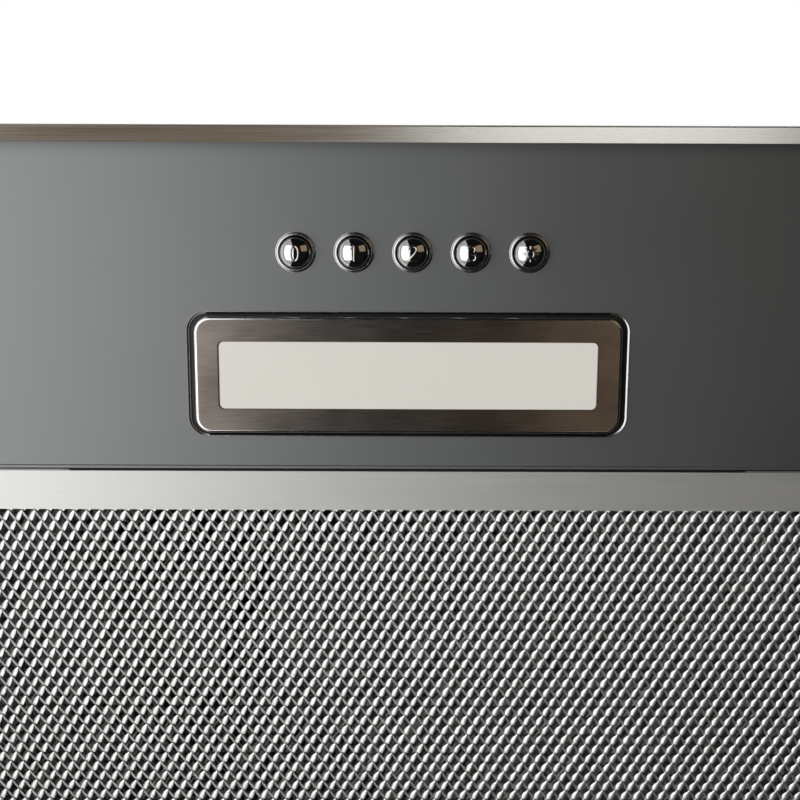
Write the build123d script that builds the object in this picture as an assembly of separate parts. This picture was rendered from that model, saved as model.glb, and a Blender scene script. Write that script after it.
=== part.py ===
"""Range hood insert, built as separate sub-parts in millimetres.

The insert hangs in a cabinet or canopy. +Z is up, so the face with the buttons,
the lamp and the grease filter looks down (-Z). The front edge is at -Y and +X is
to the right. Z = 0 is the lowest edge of the rim, and X = Y = 0 is the middle.
"""

from build123d import *
from math import acos, cos, degrees, pi, radians, sin, sqrt
import os

# ---------------------------------------------------------------- driving sizes
# Face and housing
hood_width = 520.0  # over the rim, X
flange_overhang = 14.0  # how far the face reaches past the housing's walls
sheet = 0.8  # steel sheet of the face, housing and blower casing
rim_width = 5.2  # strip that shows round the face
rim_drop = 5.5  # how far the rim hangs below the face
rim_round = 1.2  # rounded lower edge of the rim
bead_width = 12.0  # stiffening beads pressed into the housing walls
bead_proud = 1.2
bead_heights = (0.3, 0.7)  # shares of the wall's height
wall_bead_margin = 69.0  # from the wall's ends to the front and rear beads
end_bead_margin = 94.0  # the same on the side walls, which also carry the clips
small_gap = 0.3  # between pieces that lie next to each other
cabinet_screw_hole = 4.5
cabinet_screw_inset = 45.0  # from the rim's front and rear edges

# Buttons
button_row_from_front = 38.6
button_row_shift = 1.2  # the row sits a little to the right of the lamp's middle
button_pitch = 18.0
button_diameter = 9.5
button_drop = 4.4  # how far the dome stands below the face
button_dome_height = 2.1
button_gap = 0.55  # round the cap, to the hole's edge
button_travel = 3.5
button_flange_width = 1.5  # collar on the cap that keeps it behind the face
button_flange_thickness = 1.2
button_shoulder_height = 3.3  # from the face's top to the cap's upper end
collar_width = 0.6  # rolled edge round each hole
collar_drop = 0.6
collar_round = 0.48
stem_side = 4.0  # square stem that enters the switch
stem_length = 16.0
button_spring_wire = 0.6
button_spring_diameter = 7.0  # at the middle of the wire
button_spring_turns = 3
spring_seat_gap = 0.1

# Switch block
switch_width = 18.0
switch_height = 20.0
switch_end_margin = 12.0  # beyond the outer buttons' centres
switch_standoff = 9.3  # from the face's top to the switch's underside
switch_corner = 1.0
bracket_sheet = 1.0
bracket_foot = 10.0

# Lamp
lamp_from_buttons = 38.35  # from the button row to the lamp's middle
lamp_cutout_length = 138.0
lamp_cutout_width = 39.7
lamp_cutout_corner = 6.2
bezel_end_gap = 2.25  # from the bezel to the cut-out's ends
bezel_side_gap = 1.35  # the same at its long sides
bezel_corner = 5.2
bezel_proud = 2.0  # how far the bezel stands below the face
bezel_edge = 0.9  # bevel round the bezel's lower edge
bezel_depth = 4.0
window_end_border = 7.75  # bezel's strip at the window's ends
window_side_border = 7.85  # the same at its long sides
window_corner = 1.6
window_recess = 0.4  # the opal window lies this far inside the bezel's face
diffuser_thickness = 2.0
diffuser_margin = 1.5  # hidden edge of the diffuser behind the bezel
diffuser_step = 0.8  # from the window's face to that hidden edge
diffuser_gap = 0.05  # between the window and the bezel, all round
lamp_body_height = 15.7
lamp_flange_margin = 3.0  # the lamp's flange reaches this far past the cut-out
lamp_flange_thickness = 1.5
lamp_wall = 1.5
led_length = 3.5
led_width = 2.8
led_height = 0.8
led_pitch = 8.0
board_thickness = 1.2
clip_width = 12.0
clip_leaf = 0.6
clip_foot = 10.0
clip_reach = 3.0  # over the lamp's flange

# Control compartment
cover_half_width = 200.0
cover_height = 54.0
cover_front_gap = 5.7  # from the housing's front wall
driver_length = 62.0
driver_width = 24.0
driver_height = 18.0
driver_round = 1.5

# Grease filter
filter_end_room = 11.0  # from the filter's ends to the housing's walls
filter_rear_room = 6.8  # from its rear edge to the rear wall
filter_thickness = 9.0
filter_gap = 0.6  # between the filter and the opening's edges
filter_recess = 0.3  # the filter's face lies this far above the face's lower side
filter_border = 12.75
filter_sheet = 0.8
mesh_sheet = 0.5
mesh_cell_length = 26.0  # diamond pitch, X: far coarser than the real 4.2 mm by 6.7 mm cells
mesh_cell_width = 16.0  # diamond pitch, Y
mesh_strand = 1.6
core_layer_count = 2  # inner layers between the two outer ones
hook_spacing = 240.0
hook_width = 24.0
hook_reach = 5.6  # beyond the front edge, over the face panel
hook_room = 1.9  # from the hooks to the control compartment

# Filter latch
latch_plate_length = 56.0
latch_plate_width = 27.0
latch_plate_proud = 0.9
latch_case_margin = 2.0
latch_case_wall = 1.2
latch_plate_corner = 2.0
latch_end_gap = 0.2  # between the bolt's body and the frame
latch_thickness = 3.0
latch_length = 14.4
latch_width = 30.0
latch_nose_width = 18.0
latch_nose_reach = 5.0  # past the filter's rear edge
latch_nose_bevel = 1.0
latch_travel = 6.0
latch_pull_thickness = 3.0
latch_floor = 2.9
latch_spring_wire = 0.5
latch_spring_diameter = 2.8
latch_spring_turns = 7
keeper_width = 20.0
keeper_leaf = 0.8
keeper_height = 26.0
keeper_reach = 5.0
keeper_notch_margin = 6.0

# Blower
wheel_diameter = 118.0
wheel_width = 78.0
wheel_ring = 1.0
wheel_disc = 1.2
blade_count = 40
blade_depth = 9.0  # of the rings that hold the blades, in the radius
blade_inset_inner = 0.3  # from the rings' edges to the blades
blade_inset_outer = 0.5
blade_weld_gap = 0.3  # from the blades' inner edge to the middle disc
blade_thickness = 0.6
blade_sweep = 3.6
blade_camber = 1.8
hub_diameter = 24.0
hub_length = 24.0
scroll_side_gap = 6.0  # between the wheel and each side wall
scroll_gap = 5.0  # between the wheel and the casing at the tongue
scroll_growth = 9.0  # step of the spiral at each quarter
tongue_angle = 120.0
scroll_front_gap = 3.1  # from the control compartment to the casing's inside
scroll_rear_gap = 15.4  # to the housing's rear wall
scroll_top_gap = 5.2  # to the top plate
scroll_floor_gap = 9.4  # to the filter
scroll_flange = 12.0
inlet_step = 3.0  # from the wheel's inside to the inlet's edge
inlet_lip = 4.0

# Motor
shaft_diameter = 8.0
shaft_clearance = 0.05
shaft_tail = 4.0
motor_diameter = 84.0
motor_gap = 22.0  # from the scroll's side to the motor's bracket
bell_length = 16.0
bell_wall = 2.0
bell_shaft_gap = 1.0
stator_length = 28.0
rotor_diameter = 46.0
air_gap = 0.4
winding_overhang = 8.0
winding_depth = 7.0  # from the rotor to the slots' centres
slot_diameter = 5.6
slot_count = 12
bearing_diameter = 22.0
bearing_width = 7.0
motor_bracket_sheet = 2.0
bracket_arm_width = 14.0
bracket_foot_margin = 9.0  # from the inlet's edge to the feet's screws
bracket_arm_overlap = 6.0  # of the arms on the bracket's ring
bracket_arm_count = 3
grommet_diameter = 12.0
grommet_thickness = 2.0
lead_boss = 2.0  # boss on the outer bell where the motor's lead comes out
lead_boss_wall = 1.5
screw_diameter = 4.0
screw_hole_gap = 0.25
screw_head_diameter = 7.6
screw_head_height = 2.4
screw_cross_length = 4.2
screw_cross_width = 0.9
motor_screw_grip = 3.0  # of the screws past the sheet that they hold
case_screw_grip = 4.0

# Outlet collar and damper
spigot_diameter = 149.0
spigot_height = 35.0
spigot_wall = 1.4
collar_flange = 13.5  # from the spigot to the plate's edge
collar_plate_thickness = 1.8
collar_plate_corner = 8.0
collar_screw_inset = 8.0
damper_height = 15.0  # pin above the collar's plate
damper_pin_diameter = 3.0
damper_clearance = 0.08
flap_thickness = 0.8
flap_gap = 0.8
flap_hinge_gap = 0.5  # between the knuckles and the other half of the disc
ledge_width = 5.0
ledge_thickness = 1.5
boss_length = 5.0  # boss at each end of the damper's pin
boss_wall = 1.5
knuckle_diameter = 6.0
knuckle_length = 14.0
knuckle_end_gap = 1.5  # to the bosses
knuckle_count = 4

# Connection box on the top plate
box_length = 100.0  # X
box_width = 72.0  # Y
box_height = 32.0
box_room = 12.0  # from the outlet's plate
box_from_front = 31.0  # from the body's front
lid_screw_inset = 6.0
lid_skirt = 4.0
capacitor_diameter = 26.0
capacitor_length = 52.0
capacitor_strap = 1.0
capacitor_strap_width = 10.0
capacitor_side_room = 3.0  # to the box's front wall
capacitor_end_room = 6.0  # to its right wall
terminal_length = 40.0
terminal_width = 18.0
terminal_height = 16.0
terminal_poles = 3
terminal_well = 6.4
terminal_room = 4.0  # to the box's rear wall
gland_bore = 8.0
gland_hex = 19.0
gland_thread = 16.0
gland_outside = 16.0
gland_nut = 5.0
gland_cap_step = 0.5  # from the hexagon's flats to the cap
gland_cap_length = 12.0
gland_cap_proud = 2.0  # past the thread's end
gland_cap_round = 2.0
loom_diameter = 6.0
motor_lead_diameter = 4.0
loom_clearance = 0.4
lead_end = 8.0  # of the leads inside the box
loom_cover_end = 6.0  # of the loom inside the cover
loom_bend = 28.0
loom_upper_run = 40.0  # straight run below the top plate
loom_lower_run = 30.0  # straight run above the cover
loom_drop_from_buttons = 16.0
motor_lead_slack = 1.0  # straight run before its bends

# Spring clips that hold the insert in the cabinet
cabinet_clip_spacing = 150.0
cabinet_clip_width = 22.0
cabinet_clip_height = 46.0
cabinet_clip_leaf = 0.8
cabinet_clip_bulge = 6.0
cabinet_clip_base = 60.0  # above the flange's seat
cabinet_clip_foot = 8.0  # flat end against the wall
cabinet_clip_crest = 0.6  # where it stands out most, as a share of its height

# ---------------------------------------------------------------- worked-out places
bezel_length = lamp_cutout_length - 2 * bezel_end_gap
bezel_width = lamp_cutout_width - 2 * bezel_side_gap
window_length = bezel_length - 2 * window_end_border
window_width = bezel_width - 2 * window_side_border
lamp_flange_length = lamp_cutout_length + 2 * lamp_flange_margin
lamp_flange_width = lamp_cutout_width + 2 * lamp_flange_margin
lamp_box_length = bezel_length + 2 * lamp_wall
lamp_box_width = bezel_width + 2 * lamp_wall
led_count = int(window_length / led_pitch)

# Depth: compartment, then the filter and the blower's casing, then the rear wall
scroll_radius = wheel_diameter / 2 + scroll_gap
scroll_depth = 2 * scroll_radius + 3 * scroll_growth
lamp_from_front = button_row_from_front + lamp_from_buttons
cover_from_front = lamp_from_front + lamp_flange_width / 2 + small_gap + sheet
scroll_from_front = cover_from_front + scroll_front_gap
filter_from_front = cover_from_front + hook_room + hook_reach
rear_wall_from_front = scroll_from_front + scroll_depth + sheet + scroll_rear_gap
hood_depth = rear_wall_from_front + sheet + flange_overhang
filter_width = rear_wall_from_front - filter_rear_room - filter_from_front
body_width = hood_width - 2 * flange_overhang
body_depth = hood_depth - 2 * flange_overhang
front = -hood_depth / 2
inner_half_depth = body_depth / 2 - sheet

# Height: filter, then the blower's casing, then the top plate
face_low = rim_drop  # lower side of the face panel
seat = face_low + sheet  # upper side of the face panel
cabinet_plane = seat + sheet  # upper side of the housing's flange, where the cabinet rests
filter_low = face_low + filter_recess
filter_high = filter_low + filter_thickness
scroll_low = filter_high + scroll_floor_gap + sheet
wheel_z = scroll_low + scroll_growth + scroll_radius
body_inner_top = wheel_z + scroll_radius + sheet + scroll_top_gap
body_top = body_inner_top + sheet
body_height = body_top - seat

cabinet_screw_x = (body_width / 2 + hood_width / 2 - rim_width) / 2
cabinet_screw_y = hood_depth / 2 - cabinet_screw_inset

button_y = front + button_row_from_front
button_xs = [button_row_shift + (i - 2) * button_pitch for i in range(5)]
button_names = ["button_off", "button_speed_1", "button_speed_2", "button_speed_3", "button_light"]
button_hole = button_diameter + 2 * button_gap
shoulder_z = seat + button_shoulder_height
switch_low = seat + switch_standoff
switch_high = switch_low + switch_height
switch_half_length = 2 * button_pitch + switch_end_margin

lamp_y = front + lamp_from_front
bezel_low = face_low - bezel_proud
bezel_high = bezel_low + bezel_depth
window_z = bezel_low + window_recess
lamp_top = seat + lamp_body_height

filter_length = body_width - 2 * filter_end_room
filter_front = front + filter_from_front
filter_rear = filter_front + filter_width
opening_front = filter_front - filter_gap
opening_rear = filter_rear + filter_gap
opening_half_length = filter_length / 2 + filter_gap
mesh_half_length = filter_length / 2 - filter_sheet
mesh_front = filter_front + filter_sheet
mesh_rear = filter_rear - filter_sheet

latch_z = filter_low - latch_plate_proud + latch_floor + small_gap
latch_cavity_low = latch_z - small_gap
latch_cavity_high = latch_z + latch_thickness + small_gap
latch_case_rear = mesh_rear
latch_case_front = latch_case_rear - latch_plate_width
latch_rear = latch_case_rear - latch_end_gap
latch_front = latch_rear - latch_length
latch_case_half_length = latch_plate_length / 2 - latch_case_margin

cover_front = -inner_half_depth + cover_front_gap
cover_rear = front + cover_from_front
cover_top = seat + cover_height

throat_front = front + scroll_from_front
wheel_y = throat_front + 3 * scroll_growth + scroll_radius
wheel_inner_diameter = wheel_diameter - 2 * blade_depth
inlet_diameter = wheel_inner_diameter - 2 * inlet_step
scroll_width = wheel_width + 2 * scroll_side_gap
scroll_half = scroll_width / 2
scroll_outside = scroll_half + sheet
tongue_y = wheel_y + scroll_radius * cos(radians(tongue_angle))
throat_y = (throat_front + tongue_y) / 2

bracket_x = -(scroll_outside + motor_gap)
bell_inner_x = bracket_x - motor_bracket_sheet
stator_inner_x = bell_inner_x - bell_length
stator_outer_x = stator_inner_x - stator_length
bell_outer_x = stator_outer_x - bell_length

bracket_foot_radius = inlet_diameter / 2 + bracket_foot_margin
winding_radius = rotor_diameter / 2 + winding_depth

collar_plate = spigot_diameter + 2 * collar_flange
plate_top = body_top + collar_plate_thickness
pin_z = plate_top + damper_height
spigot_top = body_top + spigot_height
bore_radius = spigot_diameter / 2 - spigot_wall
flap_low = pin_z - flap_thickness / 2
ledge_high = flap_low - small_gap

box_right = -collar_plate / 2 - box_room
box_left = box_right - box_length
box_front = -body_depth / 2 + box_from_front
box_rear = box_front + box_width
box_top = body_top + box_height
gland_y = box_front + box_width / 2
gland_z = body_top + box_height / 2
capacitor_y = box_front + sheet + capacitor_side_room + capacitor_diameter / 2
capacitor_z = body_top + sheet + capacitor_strap + capacitor_diameter / 2
capacitor_left = box_right - sheet - capacitor_end_room - capacitor_length
terminal_front = box_rear - sheet - terminal_room - terminal_width
lead_y = (capacitor_y + capacitor_diameter / 2 + capacitor_strap + terminal_front) / 2
loom_x = (box_left + box_right) / 2
loom_drop_y = button_y + loom_drop_from_buttons
motor_lead_x = (stator_outer_x + bell_outer_x) / 2


# ---------------------------------------------------------------- shared shapes
def block(x_low, x_high, y_low, y_high, z_low, z_high):
    """A box between two corners."""
    middle = Pos((x_low + x_high) / 2, (y_low + y_high) / 2, (z_low + z_high) / 2)
    return middle * Box(x_high - x_low, y_high - y_low, z_high - z_low)


def rod_z(radius, x, y, z_low, z_high):
    return Pos(x, y, (z_low + z_high) / 2) * Cylinder(radius, z_high - z_low)


def rod_x(radius, x_low, x_high, y, z):
    turn = Rot(0, 90, 0)
    return Pos((x_low + x_high) / 2, y, z) * turn * Cylinder(radius, x_high - x_low)


def rod_y(radius, x, y_low, y_high, z):
    turn = Rot(90, 0, 0)
    return Pos(x, (y_low + y_high) / 2, z) * turn * Cylinder(radius, y_high - y_low)


def rounded_plate(x, y, length, width, corner, z_low, z_high):
    """An upright prism on a rounded rectangle."""
    outline = Pos(x, y, z_low) * RectangleRounded(length, width, corner)
    return extrude(outline, amount=z_high - z_low)


def side_profile(points, x_low, x_high):
    """A closed outline in the YZ plane, drawn out along X."""
    outline = Plane.YZ * make_face(Polyline(*points, close=True))
    return Pos(x_low, 0, 0) * extrude(outline, amount=x_high - x_low)


def front_profile(points, y_low, y_high):
    """A closed outline in the XZ plane, drawn out along Y."""
    outline = Plane.XZ * make_face(Polyline(*points, close=True))
    return Pos(0, y_high, 0) * extrude(outline, amount=y_high - y_low)


def pan_screw(length):
    """A pan head screw that stands on Z = 0 with its shank below."""
    head = Pos(0, 0, screw_head_height / 2) * Cylinder(screw_head_diameter / 2, screw_head_height)
    head = fillet(head.edges().group_by(Axis.Z)[-1], screw_head_height / 3)
    slot = Pos(0, 0, screw_head_height) * Box(screw_cross_length, screw_cross_width, screw_head_height)
    cross = Rot(0, 0, 90) * slot
    shank = Pos(0, 0, -length / 2) * Cylinder(screw_diameter / 2, length)
    return head - slot - cross + shank


def coil_spring(diameter, wire, turns, height):
    """A wound spring on Z, from wire / 2 above zero to wire / 2 below its height."""
    rise = height - wire
    path = Helix(pitch=rise / turns, height=rise, radius=diameter / 2)
    start = Plane(origin=path @ 0, z_dir=path % 0)
    return Pos(0, 0, wire / 2) * sweep(start * Circle(wire / 2), path=path)


def save(name, shape):
    """Write one sub-part under its own name."""
    solids = shape.solids()
    if len(solids) == 1:
        export_step(solids[0], f"parts/{name}.step")
    else:
        export_step(Compound(children=list(solids)), f"parts/{name}.step")


# ---------------------------------------------------------------- face
def rim_frame():
    """Folded channel that runs round the face and hangs below it."""
    outer = block(-hood_width / 2, hood_width / 2, front, -front, 0, face_low)
    outer = fillet(outer.edges().filter_by(Axis.Z), rim_round)
    outer = fillet(outer.edges().group_by(Axis.Z)[0], rim_round - sheet / 2)
    opening_x = hood_width / 2 - rim_width
    opening_y = hood_depth / 2 - rim_width
    inner = block(-opening_x, opening_x, -opening_y, opening_y, 0, face_low)
    groove_out = block(
        -hood_width / 2 + sheet, hood_width / 2 - sheet, front + sheet, -front - sheet, sheet, face_low
    )
    groove_in = block(
        -opening_x - sheet, opening_x + sheet, -opening_y - sheet, opening_y + sheet, sheet, face_low
    )
    return outer - inner - (groove_out - groove_in)


def button_collar(x):
    """Rolled edge of one button hole."""
    ring = rod_z(button_hole / 2 + collar_width, x, button_y, face_low - collar_drop, face_low)
    ring = fillet(ring.edges().group_by(Axis.Z)[0], collar_round)
    return ring


def face_panel():
    """One sheet with the button holes, the lamp cut-out and the filter opening."""
    panel = rounded_plate(0, 0, hood_width, hood_depth, rim_round, face_low, seat)
    for x in button_xs:
        panel += button_collar(x)
    for x in button_xs:
        panel -= rod_z(button_hole / 2, x, button_y, face_low - collar_drop, seat)
    panel -= rounded_plate(
        0, lamp_y, lamp_cutout_length, lamp_cutout_width, lamp_cutout_corner, face_low, seat
    )
    opening = block(
        -opening_half_length, opening_half_length, opening_front, opening_rear, face_low, seat
    )
    hem_outer = block(
        -opening_half_length - sheet,
        opening_half_length + sheet,
        opening_front,
        opening_rear + sheet,
        seat,
        filter_high - sheet,
    )
    hem_inner = block(
        -opening_half_length, opening_half_length, opening_front, opening_rear, seat, filter_high
    )
    panel = panel + (hem_outer - hem_inner) - opening
    panel -= keeper_notch(face_low, filter_high)
    return panel - cabinet_screw_holes(face_low, seat)


def cabinet_screw_holes(z_low, z_high):
    """Four holes outside the housing's end walls."""
    holes = Part()
    for x in (-cabinet_screw_x, cabinet_screw_x):
        for y in (-cabinet_screw_y, cabinet_screw_y):
            holes += rod_z(cabinet_screw_hole / 2, x, y, z_low, z_high)
    return holes


def keeper_notch(z_low, z_high):
    """Room for the latch's nose to come down through the face's rear strip."""
    half = latch_nose_width / 2 + keeper_notch_margin
    return block(-half, half, opening_rear - sheet, inner_half_depth, z_low, z_high)


# ---------------------------------------------------------------- housing
def housing_shell():
    """Four walls with pressed beads, on an outward flange that the cabinet rests on."""
    x = body_width / 2
    y = body_depth / 2
    shell = block(-x, x, -y, y, seat, body_inner_top)
    shell = fillet(shell.edges().filter_by(Axis.Z), 2 * sheet)
    shell += rounded_plate(0, 0, hood_width, hood_depth, rim_round, seat, cabinet_plane)
    bead_z = [seat + body_height * share for share in bead_heights]
    wall_bead_half = x - wall_bead_margin
    end_bead_half = y - end_bead_margin
    for side in (-1, 1):
        for z in bead_z:
            shell += wall_bead(side * y, z, wall_bead_half, bead_width / 2)
            shell += end_bead(side * x, z, end_bead_half, bead_width / 2)
    cavity = block(-x + sheet, x - sheet, -y + sheet, y - sheet, seat, body_inner_top)
    cavity = fillet(cavity.edges().filter_by(Axis.Z), sheet)
    for side in (-1, 1):
        for z in bead_z:
            cavity += wall_bead(side * (y - sheet), z, wall_bead_half, bead_width / 2 - sheet)
            cavity += end_bead(side * (x - sheet), z, end_bead_half, bead_width / 2 - sheet)
    return shell - cavity - cabinet_screw_holes(seat, cabinet_plane)


def housing_top():
    """Top plate on the walls' edges, with the blower's outlet."""
    top = rounded_plate(0, 0, body_width, body_depth, 2 * sheet, body_inner_top, body_top)
    top -= block(-scroll_half, scroll_half, throat_front, tongue_y, body_inner_top, body_top)
    top -= lead_holes(body_inner_top, body_top)
    for spot in collar_screw_spots():
        top -= rod_z(screw_diameter / 2 + screw_hole_gap, *spot, body_inner_top, body_top)
    return top


def lead_holes(z_low, z_high):
    """Holes of the loom and of the motor's lead through the top plate and the box's floor."""
    loom_hole = rod_z(loom_diameter / 2 + loom_clearance, loom_x, lead_y, z_low, z_high)
    return loom_hole + rod_z(
        motor_lead_diameter / 2 + loom_clearance, motor_lead_x, lead_y, z_low, z_high
    )


def wall_bead(y, z, half_length, half_height):
    """Pressed bead along the front or rear wall."""
    bar = Pos(0, y, z) * Rot(90, 0, 0) * SlotOverall(2 * half_length, 2 * half_height)
    return extrude(bar, amount=bead_proud, both=True)


def end_bead(x, z, half_length, half_height):
    """Pressed bead along a side wall, between the spring clips."""
    turn = Rot(0, 90, 0) * Rot(0, 0, 90)
    bar = Pos(x, 0, z) * turn * SlotOverall(2 * half_length, 2 * half_height)
    return extrude(bar, amount=bead_proud, both=True)


def collar_screw_spots():
    half = collar_plate / 2 - collar_screw_inset
    return [(x, throat_y + y) for x in (-half, half) for y in (-half, half)]


def control_cover():
    """Sheet box over the switches, the lamp and its driver."""
    outer = block(-cover_half_width, cover_half_width, cover_front, cover_rear, seat, cover_top)
    inner = block(
        -cover_half_width + sheet,
        cover_half_width - sheet,
        cover_front + sheet,
        cover_rear - sheet,
        seat,
        cover_top - sheet,
    )
    hole = rod_z(loom_diameter / 2 + loom_clearance, loom_x, loom_drop_y, cover_top - sheet, cover_top)
    return outer - inner - hole


def cabinet_clip(side, y):
    """Bowed leaf on a side wall."""
    x0 = body_width / 2
    z0 = seat + cabinet_clip_base
    z1 = z0 + cabinet_clip_height
    leaf = cabinet_clip_leaf
    bulge = x0 + cabinet_clip_bulge
    crest = z0 + cabinet_clip_height * cabinet_clip_crest
    points = [
        (x0, z0),
        (x0 + leaf, z0),
        (x0 + leaf, z0 + cabinet_clip_foot),
        (bulge, crest),
        (x0 + 2 * leaf, z1),
        (x0 + leaf, z1),
        (bulge - leaf, crest),
        (x0, z0 + cabinet_clip_foot + leaf),
    ]
    points = [(side * x, z) for x, z in points]
    half = cabinet_clip_width / 2
    return front_profile(points, y - half, y + half)


def cabinet_clips():
    half = cabinet_clip_spacing / 2
    clips = Part()
    for side in (-1, 1):
        for y in (-half, half):
            clips += cabinet_clip(side, y)
    return clips


# ---------------------------------------------------------------- buttons and switch
def button(x):
    """Chrome cap with a domed end, a retaining flange and a square stem."""
    radius = button_diameter / 2
    low = face_low - button_drop
    cap = rod_z(radius, x, button_y, low, shoulder_z)
    dome_radius = (radius**2 + button_dome_height**2) / (2 * button_dome_height)
    dome = Pos(x, button_y, low + dome_radius) * Sphere(dome_radius)
    rest = rod_z(radius, x, button_y, low + button_dome_height, shoulder_z)
    cap = (cap & dome) + rest
    flange_low = seat + small_gap
    cap += rod_z(
        radius + button_flange_width, x, button_y, flange_low, flange_low + button_flange_thickness
    )
    half = stem_side / 2
    return cap + block(
        x - half, x + half, button_y - half, button_y + half, shoulder_z, shoulder_z + stem_length
    )


def button_spring(x):
    """Return spring between the cap's shoulder and the switch."""
    height = switch_low - shoulder_z - 2 * spring_seat_gap
    spring = coil_spring(button_spring_diameter, button_spring_wire, button_spring_turns, height)
    return Pos(x, button_y, shoulder_z + spring_seat_gap) * spring


def switch_body():
    """Moulded switch bank with one well per stem and solder tags on top."""
    half = switch_width / 2
    body = block(
        button_row_shift - switch_half_length,
        button_row_shift + switch_half_length,
        button_y - half,
        button_y + half,
        switch_low,
        switch_high,
    )
    body = fillet(body.edges().filter_by(Axis.Z), switch_corner)
    well_top = shoulder_z + stem_length + button_travel + small_gap
    well_half = stem_side / 2 + small_gap
    for x in button_xs:
        body -= block(
            x - well_half, x + well_half, button_y - well_half, button_y + well_half, switch_low, well_top
        )
    return body


def switch_bracket():
    """Sheet bridge that stands on the face and holds the switch from above."""
    reach = switch_half_length + small_gap
    profile = [
        (-reach - bracket_sheet - bracket_foot, seat),
        (-reach, seat),
        (-reach, switch_high),
        (reach, switch_high),
        (reach, seat),
        (reach + bracket_sheet + bracket_foot, seat),
        (reach + bracket_sheet + bracket_foot, seat + bracket_sheet),
        (reach + bracket_sheet, seat + bracket_sheet),
        (reach + bracket_sheet, switch_high + bracket_sheet),
        (-reach - bracket_sheet, switch_high + bracket_sheet),
        (-reach - bracket_sheet, seat + bracket_sheet),
        (-reach - bracket_sheet - bracket_foot, seat + bracket_sheet),
    ]
    profile = [(button_row_shift + x, z) for x, z in profile]
    half = switch_width / 2
    return front_profile(profile, button_y - half, button_y + half)


# ---------------------------------------------------------------- lamp
def lamp_bezel():
    """Brushed frame with a bevelled edge, rebated behind for the diffuser."""
    frame = rounded_plate(0, lamp_y, bezel_length, bezel_width, bezel_corner, bezel_low, bezel_high)
    frame = chamfer(frame.edges().group_by(Axis.Z)[0], bezel_edge)
    frame -= rounded_plate(
        0, lamp_y, window_length, window_width, window_corner, bezel_low, bezel_high
    )
    return frame - rounded_plate(
        0,
        lamp_y,
        window_length + 2 * diffuser_margin,
        window_width + 2 * diffuser_margin,
        window_corner,
        window_z + diffuser_step,
        bezel_high,
    )


def lamp_diffuser():
    """Opal window with a hidden flange."""
    step = 2 * diffuser_gap
    window = rounded_plate(
        0, lamp_y, window_length - step, window_width - step, window_corner, window_z, bezel_high
    )
    flange = rounded_plate(
        0,
        lamp_y,
        window_length + 2 * diffuser_margin - step,
        window_width + 2 * diffuser_margin - step,
        window_corner,
        window_z + diffuser_step,
        window_z + diffuser_step + diffuser_thickness,
    )
    return window + flange


def lamp_body():
    """Black moulding behind the cut-out; its flange lies on the face panel."""
    flange = rounded_plate(
        0,
        lamp_y,
        lamp_flange_length,
        lamp_flange_width,
        lamp_cutout_corner,
        seat,
        seat + lamp_flange_thickness,
    )
    tray = rounded_plate(0, lamp_y, lamp_box_length, lamp_box_width, bezel_corner, seat, lamp_top)
    hollow = rounded_plate(
        0, lamp_y, bezel_length, bezel_width, bezel_corner, seat, lamp_top - lamp_wall
    )
    return flange + tray - hollow


def lamp_led_board():
    """Circuit board on the tray's ceiling with a row of light-emitting diodes."""
    board_high = lamp_top - lamp_wall
    board_low = board_high - board_thickness
    half_length = window_length / 2
    half_width = window_width / 2
    board = block(
        -half_length, half_length, lamp_y - half_width, lamp_y + half_width, board_low, board_high
    )
    for i in range(led_count):
        x = (i - (led_count - 1) / 2) * led_pitch
        board += block(
            x - led_length / 2,
            x + led_length / 2,
            lamp_y - led_width / 2,
            lamp_y + led_width / 2,
            board_low - led_height,
            board_low,
        )
    return board


def lamp_clip(side):
    """Leaf that presses the lamp's flange onto the face."""
    edge = lamp_flange_length / 2 + small_gap
    leaf_low = seat + lamp_flange_thickness + small_gap
    profile = [
        (edge, seat),
        (edge + clip_foot, seat),
        (edge + clip_foot, seat + clip_leaf),
        (edge + clip_leaf, seat + clip_leaf),
        (edge + clip_leaf, leaf_low + clip_leaf),
        (edge - clip_reach, leaf_low + clip_leaf),
        (edge - clip_reach, leaf_low),
        (edge, leaf_low),
    ]
    profile = [(side * x, z) for x, z in profile]
    return front_profile(profile, lamp_y - clip_width / 2, lamp_y + clip_width / 2)


def lamp_clips():
    return lamp_clip(-1) + lamp_clip(1)


def led_driver():
    """Sealed plastic driver on the face panel's upper side."""
    x = -cover_half_width + driver_length
    driver = block(
        x - driver_length / 2,
        x + driver_length / 2,
        lamp_y - driver_width / 2,
        lamp_y + driver_width / 2,
        seat,
        seat + driver_height,
    )
    edges = driver.edges().group_by(Axis.Z)[-1] + driver.edges().filter_by(Axis.Z)
    return fillet(edges, driver_round)


# ---------------------------------------------------------------- grease filter
def filter_frame():
    """Folded aluminium channel round the mesh, with two hooks in front."""
    half = filter_length / 2
    frame = block(-half, half, filter_front, filter_rear, filter_low, filter_high)
    frame = fillet(frame.edges().filter_by(Axis.Z), 2 * filter_sheet)
    frame -= block(
        -mesh_half_length,
        mesh_half_length,
        mesh_front,
        mesh_rear,
        filter_low + filter_sheet,
        filter_high - filter_sheet,
    )
    frame -= block(
        -half + filter_border,
        half - filter_border,
        filter_front + filter_border,
        filter_rear - filter_border,
        filter_low,
        filter_high,
    )
    frame -= latch_case_hole()
    frame -= block(
        -latch_nose_width / 2 - small_gap,
        latch_nose_width / 2 + small_gap,
        mesh_rear,
        filter_rear,
        latch_cavity_low,
        latch_cavity_high,
    )
    hook_low = seat + small_gap
    for side in (-1, 1):
        x = side * hook_spacing / 2
        frame += block(
            x - hook_width / 2,
            x + hook_width / 2,
            filter_front - hook_reach,
            filter_front + filter_sheet,
            hook_low,
            hook_low + filter_sheet,
        )
    return frame


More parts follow.
